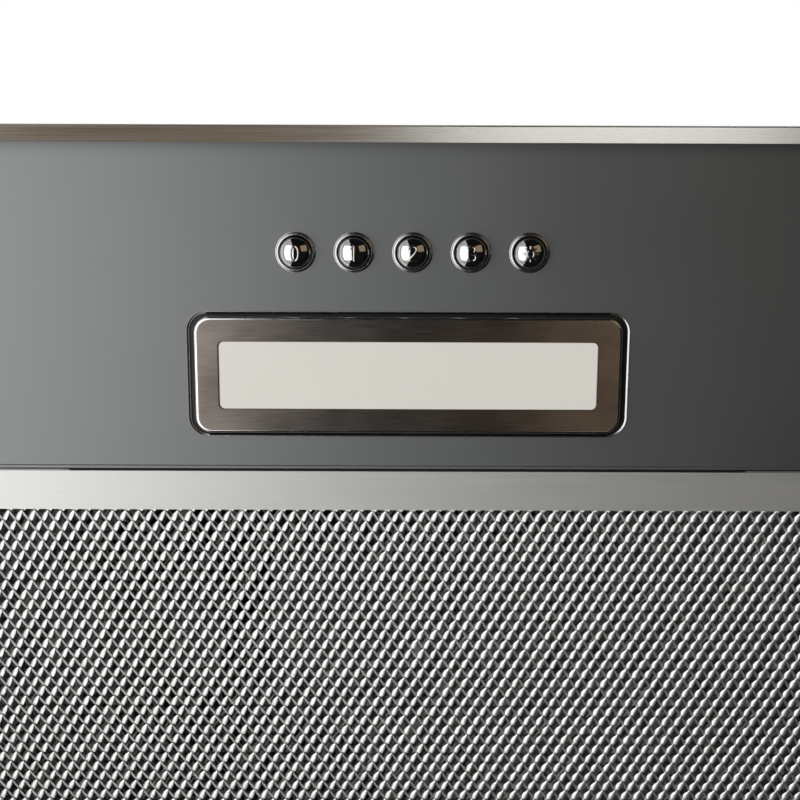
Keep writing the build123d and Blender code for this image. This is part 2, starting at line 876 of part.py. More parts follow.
def latch_case_hole():
    """Cut-out of the frame's lower side and of the mesh for the latch case."""
    return block(
        -latch_case_half_length - small_gap,
        latch_case_half_length + small_gap,
        latch_case_front - small_gap,
        latch_case_rear,
        filter_low,
        filter_high - filter_sheet,
    )


def diamond_mesh(z_low, shift):
    """Flat sheet with staggered diamond openings, moved along by a share of a cell."""
    length = 2 * mesh_half_length
    width = mesh_rear - mesh_front
    middle = (mesh_front + mesh_rear) / 2
    window_x = filter_length / 2 - filter_border
    window_y = filter_width / 2 - filter_border
    diamond = Polygon(
        (mesh_cell_length / 2 - mesh_strand, 0),
        (0, mesh_cell_width / 2 - mesh_strand),
        (-mesh_cell_length / 2 + mesh_strand, 0),
        (0, -mesh_cell_width / 2 + mesh_strand),
    )
    columns = int((window_x - mesh_cell_length / 2) / (mesh_cell_length / 2))
    rows = int((window_y - mesh_cell_width / 2) / (mesh_cell_width / 2))
    spots = []
    for i in range(-columns, columns + 1):
        for j in range(-rows, rows + 1):
            x = (i + shift) * mesh_cell_length / 2
            y = middle + j * mesh_cell_width / 2
            near_latch = abs(x) < latch_case_half_length + mesh_cell_length / 2 + mesh_strand
            behind = y > latch_case_front - mesh_cell_width / 2 - mesh_strand
            inside = abs(x) < window_x
            if (i + j) % 2 == 0 and inside and not (near_latch and behind):
                spots.append((x, y))
    sheet_face = Pos(0, middle, 0) * Rectangle(length, width)
    net = sheet_face - [Pos(x, y, 0) * diamond for x, y in spots]
    net = Pos(0, 0, z_low) * net
    return extrude(net, amount=mesh_sheet) - latch_case_hole()


def filter_core_mesh():
    """Inner layers, held apart by the frame's channel."""
    low = filter_low + filter_sheet
    high = filter_high - filter_sheet - mesh_sheet
    layers = Part()
    for i in range(core_layer_count):
        share = (i + 1) / (core_layer_count + 1)
        layers += diamond_mesh(low + share * (high - low), share)
    return layers


def latch_housing():
    """Case of the latch, with an outside plate and a slot for the finger."""
    half = latch_plate_length / 2
    low = filter_low - latch_plate_proud
    plate_front = latch_case_front - latch_case_margin
    plate = block(-half, half, plate_front, filter_rear - latch_case_margin, low, filter_low)
    plate = fillet(plate.edges().filter_by(Axis.Z), latch_plate_corner)
    case_high = latch_cavity_high + latch_case_wall
    case = block(
        -latch_case_half_length,
        latch_case_half_length,
        latch_case_front,
        latch_case_rear,
        low,
        case_high,
    )
    channel = block(
        -latch_width / 2 - small_gap,
        latch_width / 2 + small_gap,
        latch_case_front + latch_case_wall,
        latch_case_rear,
        latch_cavity_low,
        latch_cavity_high,
    )
    slot = block(
        -latch_width / 2 + latch_case_wall,
        latch_width / 2 - latch_case_wall,
        latch_front - latch_travel - latch_case_wall,
        latch_front + latch_pull_thickness + small_gap,
        low,
        latch_cavity_low,
    )
    return plate + case - channel - slot


def filter_latch():
    """Sliding bolt with a bevelled nose and a finger pull."""
    half = latch_width / 2
    bolt = block(-half, half, latch_front, latch_rear, latch_z, latch_z + latch_thickness)
    nose_tip = filter_rear + latch_nose_reach
    nose = side_profile(
        [
            (latch_rear, latch_z),
            (nose_tip - latch_nose_bevel, latch_z),
            (nose_tip, latch_z + latch_nose_bevel),
            (nose_tip, latch_z + latch_thickness - latch_nose_bevel),
            (nose_tip - latch_nose_bevel, latch_z + latch_thickness),
            (latch_rear, latch_z + latch_thickness),
        ],
        -latch_nose_width / 2,
        latch_nose_width / 2,
    )
    pull_half = half - latch_case_wall - small_gap
    pull = block(
        -pull_half,
        pull_half,
        latch_front,
        latch_front + latch_pull_thickness,
        filter_low - latch_plate_proud + small_gap,
        latch_z,
    )
    return bolt + nose + pull


def latch_spring():
    """Spring that pushes the bolt out."""
    start = latch_case_front + latch_case_wall + spring_seat_gap
    end = latch_front - spring_seat_gap
    spring = coil_spring(latch_spring_diameter, latch_spring_wire, latch_spring_turns, end - start)
    return Pos(0, start, latch_z + latch_thickness / 2) * Rot(-90, 0, 0) * spring


def filter_keeper():
    """Spring steel catch on the rear wall that holds the latch's nose."""
    leaf_high = latch_z - small_gap
    leaf_low = leaf_high - keeper_leaf
    wall = inner_half_depth
    points = [
        (wall, leaf_low),
        (wall - keeper_reach, leaf_low),
        (wall - keeper_reach, leaf_high),
        (wall - keeper_leaf, leaf_high),
        (wall - keeper_leaf, leaf_high + keeper_height),
        (wall, leaf_high + keeper_height),
    ]
    return side_profile(points, -keeper_width / 2, keeper_width / 2)


# ---------------------------------------------------------------- blower
def scroll_outline(grow):
    """Inside of the casing in the YZ plane, set out by the given amount."""
    radius = scroll_radius + grow
    tongue = tongue_y + grow
    tongue_z = wheel_z + sqrt(radius**2 - (tongue - wheel_y) ** 2)
    start_angle = degrees(acos((tongue - wheel_y) / radius))
    step = scroll_growth
    centre_y = wheel_y - step
    rear = (wheel_y + radius, wheel_z)
    bottom = (centre_y, wheel_z - radius - step)
    side = (centre_y - radius - 2 * step, wheel_z + step)

    def on_arc(y, z, reach, angle):
        return (y + reach * cos(radians(angle)), z + reach * sin(radians(angle)))

    edges = [
        Line((tongue, body_inner_top), (tongue, tongue_z)),
        ThreePointArc((tongue, tongue_z), on_arc(wheel_y, wheel_z, radius, start_angle / 2), rear),
        ThreePointArc(rear, on_arc(centre_y, wheel_z, radius + step, -45), bottom),
        ThreePointArc(bottom, on_arc(centre_y, wheel_z + step, radius + 2 * step, -135), side),
        Line(side, (side[0], body_inner_top)),
        Line((side[0], body_inner_top), (tongue, body_inner_top)),
    ]
    return Plane.YZ * make_face(edges)


def scroll_wrap():
    """Curved wall of the blower casing."""
    band = scroll_outline(sheet) - scroll_outline(0)
    return Pos(-scroll_half, 0, 0) * extrude(band, amount=scroll_width)


def scroll_side(side):
    """Side wall with a drawn inlet ring and a flange under the top plate."""
    near = side * scroll_half
    far = side * scroll_outside
    low, high = sorted((near, far))
    plate = Pos(low, 0, 0) * extrude(scroll_outline(sheet), amount=sheet)
    flange_low, flange_high = sorted((far, side * (scroll_outside + scroll_flange)))
    plate += block(
        flange_low, flange_high, throat_front, tongue_y, body_inner_top - sheet, body_inner_top
    )
    lip_low, lip_high = sorted((far, side * (scroll_half - inlet_lip)))
    plate += rod_x(inlet_diameter / 2 + sheet, lip_low, lip_high, wheel_y, wheel_z)
    plate -= rod_x(inlet_diameter / 2, lip_low, lip_high, wheel_y, wheel_z)
    if side < 0:
        for y, z in bracket_feet():
            plate -= rod_x(screw_diameter / 2 + screw_hole_gap, low, high, y, z)
    return plate


def bracket_feet():
    """Where the motor bracket's screws go, in Y and Z."""
    feet = []
    for i in range(bracket_arm_count):
        angle = radians(90 + 360 * i / bracket_arm_count)
        y = wheel_y + bracket_foot_radius * cos(angle)
        z = wheel_z + bracket_foot_radius * sin(angle)
        feet.append((y, z))
    return feet


def on_wheel(shape):
    """Turn a shape made round Z onto the wheel's axis."""
    return Pos(0, wheel_y, wheel_z) * Rot(0, 90, 0) * shape


def impeller_disc():
    """Middle disc of the double-inlet wheel, with its hub."""
    radius = wheel_inner_diameter / 2 + blade_inset_inner - blade_weld_gap
    disc = Cylinder(radius, wheel_disc) + Cylinder(hub_diameter / 2, hub_length)
    return on_wheel(disc - Cylinder(shaft_diameter / 2, hub_length))


def impeller_rings():
    """Rings that hold the ends of the blades."""
    ring = Cylinder(wheel_diameter / 2, wheel_ring) - Cylinder(wheel_inner_diameter / 2, wheel_ring)
    reach = (wheel_width - wheel_ring) / 2
    return on_wheel(Pos(0, 0, -reach) * ring + Pos(0, 0, reach) * ring)


def impeller_blades():
    """Forward-curved blades between the rings, each a strip of its own."""
    outer = wheel_diameter / 2
    inner = wheel_inner_diameter / 2
    start = Vector(inner + blade_inset_inner, 0)
    end = Vector(outer - blade_inset_outer, blade_sweep)
    along = (end - start).normalized()
    across = Vector(-along.Y, along.X)
    middle = (start + end) * 0.5 - across * blade_camber
    shift = across * blade_thickness
    blade_edges = [
        ThreePointArc(start, middle, end),
        Line(end, end + shift),
        ThreePointArc(end + shift, middle + shift, start + shift),
        Line(start + shift, start),
    ]
    length = wheel_width - 2 * wheel_ring
    blade = Pos(0, 0, -length / 2) * extrude(make_face(blade_edges), amount=length)
    turns = [Rot(0, 0, 360 * i / blade_count) for i in range(blade_count)]
    return Compound(children=[on_wheel(turn * blade) for turn in turns])


# ---------------------------------------------------------------- motor
def motor_shaft():
    return rod_x(
        shaft_diameter / 2, bell_outer_x - shaft_tail, hub_length / 2 + shaft_tail, wheel_y, wheel_z
    )


def motor_rotor():
    rotor = rod_x(rotor_diameter / 2, stator_outer_x, stator_inner_x, wheel_y, wheel_z)
    return rotor - rod_x(shaft_diameter / 2, stator_outer_x, stator_inner_x, wheel_y, wheel_z)


def motor_stator():
    """Laminated stack with round slots for the windings."""
    bore = rotor_diameter / 2 + air_gap
    stack = rod_x(motor_diameter / 2, stator_outer_x, stator_inner_x, wheel_y, wheel_z)
    stack -= rod_x(bore, stator_outer_x, stator_inner_x, wheel_y, wheel_z)
    return stack - slot_rods(stator_outer_x, stator_inner_x)


def slot_rods(x_low, x_high):
    """One round bar for each slot of the stack."""
    rods = []
    for i in range(slot_count):
        angle = 2 * pi * i / slot_count
        y = wheel_y + winding_radius * cos(angle)
        z = wheel_z + winding_radius * sin(angle)
        rods.append(rod_x(slot_diameter / 2, x_low, x_high, y, z))
    return rods


def motor_windings():
    """Copper bars through the slots, joined by the end turns."""
    windings = Part()
    half = slot_diameter / 2
    for x_low, x_high in (
        (stator_outer_x - winding_overhang, stator_outer_x),
        (stator_inner_x, stator_inner_x + winding_overhang),
    ):
        turns = rod_x(winding_radius + half, x_low, x_high, wheel_y, wheel_z)
        windings += turns - rod_x(winding_radius - half, x_low, x_high, wheel_y, wheel_z)
    for rod in slot_rods(stator_outer_x, stator_inner_x):
        windings += rod
    return windings


def end_bell(stack_x, far_x):
    """Cast cup that carries a bearing and closes one end of the motor."""
    low, high = sorted((stack_x, far_x))
    inward = 1 if stack_x > far_x else -1
    cup = rod_x(motor_diameter / 2, low, high, wheel_y, wheel_z)
    floor = far_x + inward * bell_wall
    hollow_low, hollow_high = sorted((stack_x, floor))
    hollow = rod_x(motor_diameter / 2 - bell_wall, hollow_low, hollow_high, wheel_y, wheel_z)
    boss_end = floor + inward * bearing_width
    boss_low, boss_high = sorted((floor, boss_end))
    boss = rod_x(bearing_diameter / 2 + bell_wall, boss_low, boss_high, wheel_y, wheel_z)
    seat_bore = rod_x(bearing_diameter / 2, boss_low, boss_high, wheel_y, wheel_z)
    shaft_bore = rod_x(shaft_diameter / 2 + bell_shaft_gap, low, high, wheel_y, wheel_z)
    return cup - hollow + boss - seat_bore - shaft_bore


def motor_end_bell_inner():
    return end_bell(stator_inner_x, bell_inner_x)


def motor_end_bell_outer():
    """The outer bell has a boss where the motor's lead comes out."""
    bell = end_bell(stator_outer_x, bell_outer_x)
    top = wheel_z + motor_diameter / 2
    return bell + rod_z(
        motor_lead_diameter / 2 + lead_boss_wall,
        motor_lead_x,
        wheel_y,
        top - bell_wall,
        top + lead_boss,
    )


def motor_bearings():
    bearings = Part()
    for floor, inward in ((bell_inner_x - bell_wall, -1), (bell_outer_x + bell_wall, 1)):
        low, high = sorted((floor, floor + inward * bearing_width))
        ring = rod_x(bearing_diameter / 2, low, high, wheel_y, wheel_z)
        bearings += ring - rod_x(shaft_diameter / 2 + shaft_clearance, low, high, wheel_y, wheel_z)
    return bearings


def motor_bracket():
    """Three-legged sheet spider between the motor and the scroll's side."""
    foot_x = -scroll_outside - grommet_thickness
    ring = rod_x(motor_diameter / 2, bell_inner_x, bracket_x, wheel_y, wheel_z)
    ring -= rod_x(bearing_diameter / 2, bell_inner_x, bracket_x, wheel_y, wheel_z)
    arms = Part()
    half = bracket_arm_width / 2
    outer = bracket_foot_radius + half
    inner = bracket_foot_radius - half
    arm_start = motor_diameter / 2 - bracket_arm_overlap
    t = motor_bracket_sheet
    for i in range(bracket_arm_count):
        arm = block(bell_inner_x, bracket_x, arm_start, inner + t, -half, half)
        leg = block(bell_inner_x, foot_x, inner, inner + t, -half, half)
        foot = block(foot_x - t, foot_x, inner, outer, -half, half)
        foot -= rod_x(screw_diameter / 2 + screw_hole_gap, foot_x - t, foot_x, bracket_foot_radius, 0)
        turn = Rot(90 + 360 * i / bracket_arm_count, 0, 0)
        arms += Pos(0, wheel_y, wheel_z) * turn * (arm + leg + foot)
    return ring + arms


def motor_grommets():
    """Rubber washers under the bracket's feet."""
    grommets = Part()
    high = -scroll_outside
    low = high - grommet_thickness
    for y, z in bracket_feet():
        ring = rod_x(grommet_diameter / 2, low, high, y, z)
        grommets += ring - rod_x(screw_diameter / 2 + screw_hole_gap, low, high, y, z)
    return grommets


def motor_screws():
    screws = Part()
    x = -scroll_outside - grommet_thickness - motor_bracket_sheet
    length = grommet_thickness + motor_bracket_sheet + motor_screw_grip
    for y, z in bracket_feet():
        screws += Pos(x, y, z) * Rot(0, -90, 0) * pan_screw(length)
    return screws


# ---------------------------------------------------------------- outlet
def outlet_collar():
    """Round spigot on a square plate, with a ledge under the damper flaps."""
    half = collar_plate / 2
    base = rounded_plate(
        0, throat_y, collar_plate, collar_plate, collar_plate_corner, body_top, plate_top
    )
    spigot = rod_z(spigot_diameter / 2, 0, throat_y, body_top, spigot_top)
    collar = base + spigot - rod_z(bore_radius, 0, throat_y, body_top, spigot_top)
    ledge_low = ledge_high - ledge_thickness
    ledge = rod_z(bore_radius, 0, throat_y, ledge_low, ledge_high)
    ledge -= rod_z(bore_radius - ledge_width, 0, throat_y, ledge_low, ledge_high)
    collar += ledge
    collar += pin_boss(-1) + pin_boss(1)
    collar -= rod_y(damper_pin_diameter / 2, 0, throat_y - half, throat_y + half, pin_z)
    for spot in collar_screw_spots():
        collar -= rod_z(screw_diameter / 2 + screw_hole_gap, *spot, body_top, plate_top)
    return collar


def pin_boss(side):
    """Boss on the spigot's wall for one end of the pin."""
    far = bore_radius + spigot_wall / 2
    near = far - boss_length
    low, high = sorted((throat_y + side * near, throat_y + side * far))
    return rod_y(damper_pin_diameter / 2 + boss_wall, 0, low, high, pin_z)


def damper_pin():
    reach = bore_radius + spigot_wall / 2
    return rod_y(damper_pin_diameter / 2, 0, throat_y - reach, throat_y + reach, pin_z)


def knuckle_spans(side):
    """Where one flap's knuckles grip the pin, as distances along Y."""
    reach = bore_radius - boss_length - knuckle_end_gap
    slot = reach / knuckle_count
    first = 0 if side < 0 else 1
    starts = [throat_y - reach + slot * (2 * i + first) for i in range(knuckle_count)]
    margin = (slot - knuckle_length) / 2
    return [(start + margin, start + margin + knuckle_length) for start in starts]


def damper_flap(side):
    """Half disc with knuckles round the pin; it lies flat when closed."""
    radius = bore_radius - flap_gap
    flap_high = flap_low + flap_thickness
    disc = rod_z(radius, 0, throat_y, flap_low, flap_high)
    hinge_gap = knuckle_diameter / 2 + flap_hinge_gap
    low, high = sorted((side * hinge_gap, side * radius))
    flap = disc & block(low, high, throat_y - radius, throat_y + radius, flap_low, flap_high)
    for y_low, y_high in knuckle_spans(side):
        flap += rod_y(knuckle_diameter / 2, 0, y_low, y_high, pin_z)
        x_low, x_high = sorted((0, side * (hinge_gap + flap_thickness)))
        flap += block(x_low, x_high, y_low, y_high, flap_low, flap_high)
    for y_low, y_high in knuckle_spans(side):
        flap -= rod_y(damper_pin_diameter / 2 + damper_clearance, 0, y_low, y_high, pin_z)
    return flap


# ---------------------------------------------------------------- electrics
def terminal_box():
    """Open-topped steel box on the top plate."""
    outer = block(box_left, box_right, box_front, box_rear, body_top, box_top)
    outer = fillet(outer.edges().filter_by(Axis.Z), 2 * sheet)
    inner = block(
        box_left + sheet,
        box_right - sheet,
        box_front + sheet,
        box_rear - sheet,
        body_top + sheet,
        box_top,
    )
    box = outer - inner - lead_holes(body_top, body_top + sheet)
    box -= rod_x(gland_thread / 2, box_left, box_left + sheet, gland_y, gland_z)
    for x, y in lid_screw_spots():
        tab = block(
            x - lid_screw_inset + sheet / 2,
            x + lid_screw_inset - sheet / 2,
            y - lid_screw_inset + sheet / 2,
            y + lid_screw_inset - sheet / 2,
            box_top - 2 * sheet,
            box_top,
        )
        box += fillet(tab.edges().filter_by(Axis.Z), 2 * sheet)
    for x, y in lid_screw_spots():
        box -= rod_z(screw_diameter / 2 + screw_hole_gap, x, y, box_top - 2 * sheet, box_top)
    return box


def lid_screw_spots():
    xs = (box_left + lid_screw_inset, box_right - lid_screw_inset)
    ys = (box_front + lid_screw_inset, box_rear - lid_screw_inset)
    return [(x, y) for x in xs for y in ys]


def terminal_lid():
    """Flat lid with folded edges over the box."""
    gap = small_gap
    lid = block(
        box_left - gap - sheet,
        box_right + gap + sheet,
        box_front - gap - sheet,
        box_rear + gap + sheet,
        box_top - lid_skirt,
        box_top + sheet,
    )
    lid = fillet(lid.edges().filter_by(Axis.Z), 2 * sheet)
    lid -= block(
        box_left - gap, box_right + gap, box_front - gap, box_rear + gap, box_top - lid_skirt, box_top
    )
    for x, y in lid_screw_spots():
        lid -= rod_z(screw_diameter / 2 + screw_hole_gap, x, y, box_top, box_top + sheet)
    return lid


def terminal_block():
    """Screw terminal strip with one well per pole."""
    low = body_top + sheet
    high = low + terminal_height
    half = terminal_length / 2
    terminal_rear = terminal_front + terminal_width
    strip = block(loom_x - half, loom_x + half, terminal_front, terminal_rear, low, high)
    pitch = terminal_length / terminal_poles
    y = (terminal_front + terminal_rear) / 2
    for i in range(terminal_poles):
        x = loom_x - half + pitch * (i + 0.5)
        strip -= rod_z(terminal_well / 2, x, y, (low + high) / 2, high)
    return strip


def capacitor():
    """Run capacitor on the box's floor."""
    right = capacitor_left + capacitor_length
    return rod_x(capacitor_diameter / 2, capacitor_left, right, capacitor_y, capacitor_z)


def capacitor_clip():
    """Strap round the capacitor with a flat foot."""
    radius = capacitor_diameter / 2
    x_low = capacitor_left + (capacitor_length - capacitor_strap_width) / 2
    x_high = x_low + capacitor_strap_width
    strap = rod_x(radius + capacitor_strap, x_low, x_high, capacitor_y, capacitor_z)
    return strap - rod_x(radius, x_low, x_high, capacitor_y, capacitor_z)


def cable_gland():
    """Compression gland with a hexagonal nut each side of the wall, and a bore for the supply cord."""
    wall_in = box_left + sheet
    inside_end = wall_in + gland_nut
    thread_end = box_left - gland_outside
    cap_end = thread_end - gland_cap_proud
    body = rod_x(gland_thread / 2, thread_end, inside_end, gland_y, gland_z)
    hexagon = RegularPolygon(gland_hex / 2, 6, major_radius=False)
    nut_inside = Pos(wall_in, gland_y, gland_z) * Rot(0, 90, 0) * extrude(hexagon, amount=gland_nut)
    shoulder = Pos(box_left, gland_y, gland_z) * Rot(0, -90, 0) * extrude(hexagon, amount=gland_nut)
    cap_radius = gland_hex / 2 - gland_cap_step
    cap = rod_x(cap_radius, cap_end, cap_end + gland_cap_length, gland_y, gland_z)
    cap = fillet(cap.edges().group_by(Axis.X)[0], gland_cap_round)
    gland = body + nut_inside + shoulder + cap
    return gland - rod_x(gland_bore / 2, cap_end, inside_end, gland_y, gland_z)


def tube(points, bend, diameter):
    """A lead along straight runs joined by tangent arcs."""
    path = FilletPolyline(*points, radius=bend)
    start = Plane(origin=path @ 0, z_dir=path % 0)
    return sweep(start * Circle(diameter / 2), path=path)


def wiring_loom():
    """Loom to the switches, and the motor's lead."""
    inside_box = body_top + sheet + lead_end
    loom = tube(
        [
            (loom_x, lead_y, inside_box),
            (loom_x, lead_y, body_inner_top - loom_upper_run),
            (loom_x, loom_drop_y, cover_top + loom_lower_run),
            (loom_x, loom_drop_y, cover_top - sheet - loom_cover_end),
        ],
        loom_bend,
        loom_diameter,
    )
    boss_top = wheel_z + motor_diameter / 2 + lead_boss
    lead_z = (boss_top + body_inner_top) / 2
    lead = tube(
        [
            (motor_lead_x, wheel_y, boss_top),
            (motor_lead_x, wheel_y, lead_z),
            (motor_lead_x, lead_y, lead_z),
            (motor_lead_x, lead_y, inside_box),
        ],
        lead_z - boss_top - motor_lead_slack,
        motor_lead_diameter,
    )
    return loom + lead


def case_screws():
    """Screws of the outlet collar and of the box's lid."""
    screws = Part()
    for x, y in collar_screw_spots():
        length = collar_plate_thickness + sheet + case_screw_grip
        screws += Pos(x, y, plate_top) * pan_screw(length)
    for x, y in lid_screw_spots():
        screws += Pos(x, y, box_top + sheet) * pan_screw(3 * sheet + case_screw_grip)
    return screws


# ---------------------------------------------------------------- build
def main():
    os.makedirs("parts", exist_ok=True)
    save("rim_frame", rim_frame())
    save("face_panel", face_panel())
    save("housing_shell", housing_shell())
    save("housing_top", housing_top())
    save("control_cover", control_cover())
    save("cabinet_clips", cabinet_clips())
    for name, x in zip(button_names, button_xs):
        save(name, button(x))
        save(f"{name}_spring", button_spring(x))
    save("switch_body", switch_body())
    save("switch_bracket", switch_bracket())
    save("lamp_bezel", lamp_bezel())
    save("lamp_diffuser", lamp_diffuser())
    save("lamp_body", lamp_body())
    save("lamp_led_board", lamp_led_board())
    save("lamp_clips", lamp_clips())
    save("led_driver", led_driver())
    save("filter_frame", filter_frame())
    save("filter_front_mesh", diamond_mesh(filter_low + filter_sheet, 0))
    save("filter_core_mesh", filter_core_mesh())
    save("filter_back_mesh", diamond_mesh(filter_high - filter_sheet - mesh_sheet, 0))
    save("latch_housing", latch_housing())
    save("filter_latch", filter_latch())
    save("latch_spring", latch_spring())
    save("filter_keeper", filter_keeper())
    save("scroll_wrap", scroll_wrap())
    save("scroll_side_left", scroll_side(-1))
    save("scroll_side_right", scroll_side(1))
    save("impeller_disc", impeller_disc())
    save("impeller_rings", impeller_rings())
    save("impeller_blades", impeller_blades())
    save("motor_shaft", motor_shaft())
    save("motor_rotor", motor_rotor())
    save("motor_stator", motor_stator())
    save("motor_windings", motor_windings())
    save("motor_end_bell_inner", motor_end_bell_inner())
    save("motor_end_bell_outer", motor_end_bell_outer())
    save("motor_bearings", motor_bearings())
    save("motor_bracket", motor_bracket())
    save("motor_grommets", motor_grommets())
    save("motor_screws", motor_screws())
    save("outlet_collar", outlet_collar())
    save("damper_pin", damper_pin())
    save("damper_flap_left", damper_flap(-1))
    save("damper_flap_right", damper_flap(1))
    save("terminal_box", terminal_box())
    save("terminal_lid", terminal_lid())
    save("terminal_block", terminal_block())
    save("capacitor", capacitor())
    save("capacitor_clip", capacitor_clip())
    save("cable_gland", cable_gland())
    save("wiring_loom", wiring_loom())
    save("case_screws", case_screws())


main()
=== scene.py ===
import math
import random

import bpy
from mathutils import Matrix, Vector


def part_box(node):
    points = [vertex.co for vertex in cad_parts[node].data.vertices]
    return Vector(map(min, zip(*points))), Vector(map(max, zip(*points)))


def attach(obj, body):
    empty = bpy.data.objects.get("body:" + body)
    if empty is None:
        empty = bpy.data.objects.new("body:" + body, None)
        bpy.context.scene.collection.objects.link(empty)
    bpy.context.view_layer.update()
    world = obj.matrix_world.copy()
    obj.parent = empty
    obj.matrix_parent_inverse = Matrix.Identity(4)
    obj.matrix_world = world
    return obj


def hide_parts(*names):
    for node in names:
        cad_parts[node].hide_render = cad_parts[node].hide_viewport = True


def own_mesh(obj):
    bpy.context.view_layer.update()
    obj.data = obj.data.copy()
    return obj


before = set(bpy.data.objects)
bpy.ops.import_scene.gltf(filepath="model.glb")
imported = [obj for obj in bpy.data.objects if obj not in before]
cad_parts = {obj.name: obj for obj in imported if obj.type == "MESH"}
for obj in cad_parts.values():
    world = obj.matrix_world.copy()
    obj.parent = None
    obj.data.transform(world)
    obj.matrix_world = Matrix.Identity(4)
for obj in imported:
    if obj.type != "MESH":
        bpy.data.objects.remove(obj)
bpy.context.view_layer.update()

# ---------------------------------------------------------------- sizes of the object, in millimetres
mm = 0.001  # one millimetre in metres


def corners_of(node):
    """The lowest and the highest corner of one of the frame's nodes."""
    return [[place / mm for place in corner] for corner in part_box(node)]


def outline_of(node, corner, inset=0.0):
    """A node's length and width seen from below, less an inset on all sides, and its corner radius."""
    low, high = corners_of(node)
    return high[0] - low[0] - 2 * inset, high[1] - low[1] - 2 * inset, corner


smallest_corner = 0.05  # radius that a shrunken outline keeps
sheet = 0.8  # thickness of the steel sheet
face_low = corners_of("rim_frame")[1][2]  # the face panel's lower side, which lies on the rim

cap_bodies = ("cap_off", "cap_speed_1", "cap_speed_2", "cap_speed_3", "cap_light")
cap_nodes = ("button_off", "button_speed_1", "button_speed_2", "button_speed_3", "button_light")
cap_low, cap_high = corners_of(cap_nodes[0])
dome_tip_z, stem_top = cap_low[2], cap_high[2]
dome_height = 2.1
cap_radius = 4.75
flange_radius = 6.25  # the ring that keeps the cap behind the face
button_y = (cap_low[1] + cap_high[1]) / 2
button_xs = [corners_of(node)[1][0] - flange_radius for node in cap_nodes]

lamp_low, lamp_high = corners_of("lamp_bezel")
lamp_y = (lamp_low[1] + lamp_high[1]) / 2
bezel_low, bezel_high = lamp_low[2], lamp_high[2]  # its visible face, and its end behind the face panel
bezel = outline_of("lamp_bezel", 5.2)
end_gap, side_gap = 2.25, 1.35  # between the bezel and the face's opening
cutout = (bezel[0] + 2 * end_gap, bezel[1] + 2 * side_gap, 6.2)
window_overlap = 1.45  # of the opal window that lies behind the bezel
window = outline_of("lamp_diffuser", 1.6, window_overlap)
pocket_play = 0.1  # room round the opal window in its pocket
pocket_z = 4.66  # floor of that pocket

filter_low, filter_high = corners_of("filter_frame")
filter_gap = 0.6  # between the filter's frame and its opening
hook_reach = 5.6  # how far the filter's hooks reach in front of its frame
opening_half = filter_high[0] + filter_gap  # half length of the filter's opening
opening_front = filter_low[1] + hook_reach - filter_gap
mesh_low, mesh_high = corners_of("filter_front_mesh")
mesh_border = 11.95  # covered by the filter's frame on all sides
mesh_half = mesh_high[0] - mesh_border  # half length of the mesh that shows
mesh_front, mesh_rear = mesh_low[1] + mesh_border, mesh_high[1] - mesh_border
latch_low, latch_high = corners_of("latch_housing")
cell_length = 4.18  # pitch of the expanded metal along X
row_step = 3.36  # from one staggered row to the next


# ---------------------------------------------------------------- materials: helpers
def ink(code):
    """An sRGB hex value as the linear colour that a shader takes."""
    shares = [int(code[i : i + 2], 16) / 255 for i in (1, 3, 5)]
    linear = [c / 12.92 if c <= 0.04045 else ((c + 0.055) / 1.055) ** 2.4 for c in shares]
    return (*linear, 1.0)


def add(tree, kind, inputs, **properties):
    """Adds a node. Each input is a value or another node's output."""
    made = tree.nodes.new(kind)
    for name, value in properties.items():
        setattr(made, name, value)
    for name, value in inputs.items():
        if isinstance(value, bpy.types.NodeSocket):
            tree.links.new(value, made.inputs[name])
        else:
            made.inputs[name].default_value = value
    return made


def finish(name, surface):
    """A new material with its shader's own values, ready for its pattern."""
    material = bpy.data.materials.new(name)
    material.use_nodes = True
    tree = material.node_tree
    shader = tree.nodes["Principled BSDF"]
    for socket, value in surface.items():
        shader.inputs[socket].default_value = value
    place = add(tree, "ShaderNodeTexCoord", {}).outputs["Object"]
    return material, tree, shader, place


def grain(tree, place, size, detail=2.0):
    """Noise whose grains have this size in X, Y and Z, in millimetres."""
    per_metre = [1 / (side * mm) for side in size]
    scaled = add(tree, "ShaderNodeVectorMath", {0: place, 1: per_metre}, operation="MULTIPLY")
    noise = add(tree, "ShaderNodeTexNoise", {"Vector": scaled.outputs[0], "Scale": 1.0, "Detail": detail})
    return noise.outputs["Fac"]


def tint(tree, shader, pattern, dark, light, spread=(0.3, 0.7)):
    """The pattern takes the surface from one colour to the other."""
    # the sockets of a Mix node share their names, so they go by number: 0 is the factor, the others its sides
    share = add(tree, "ShaderNodeMapRange", {"Value": pattern, "From Min": spread[0], "From Max": spread[1]})
    mixed = add(
        tree,
        "ShaderNodeMix",
        {0: share.outputs[0], 6: ink(dark), 7: ink(light)},
        data_type="RGBA",
    )
    tree.links.new(mixed.outputs[2], shader.inputs["Base Color"])


def gloss(tree, shader, pattern, smooth, rough, spread=(0.3, 0.7)):
    """The pattern takes the roughness from one value to the other."""
    share = add(
        tree,
        "ShaderNodeMapRange",
        {"Value": pattern, "From Min": spread[0], "From Max": spread[1], "To Min": smooth, "To Max": rough},
    )
    tree.links.new(share.outputs[0], shader.inputs["Roughness"])


def relief(tree, shader, pattern, height, strength=1.0):
    """The pattern stands out by this height, in millimetres."""
    bump = add(tree, "ShaderNodeBump", {"Height": pattern, "Distance": height * mm, "Strength": strength})
    tree.links.new(bump.outputs[0], shader.inputs["Normal"])


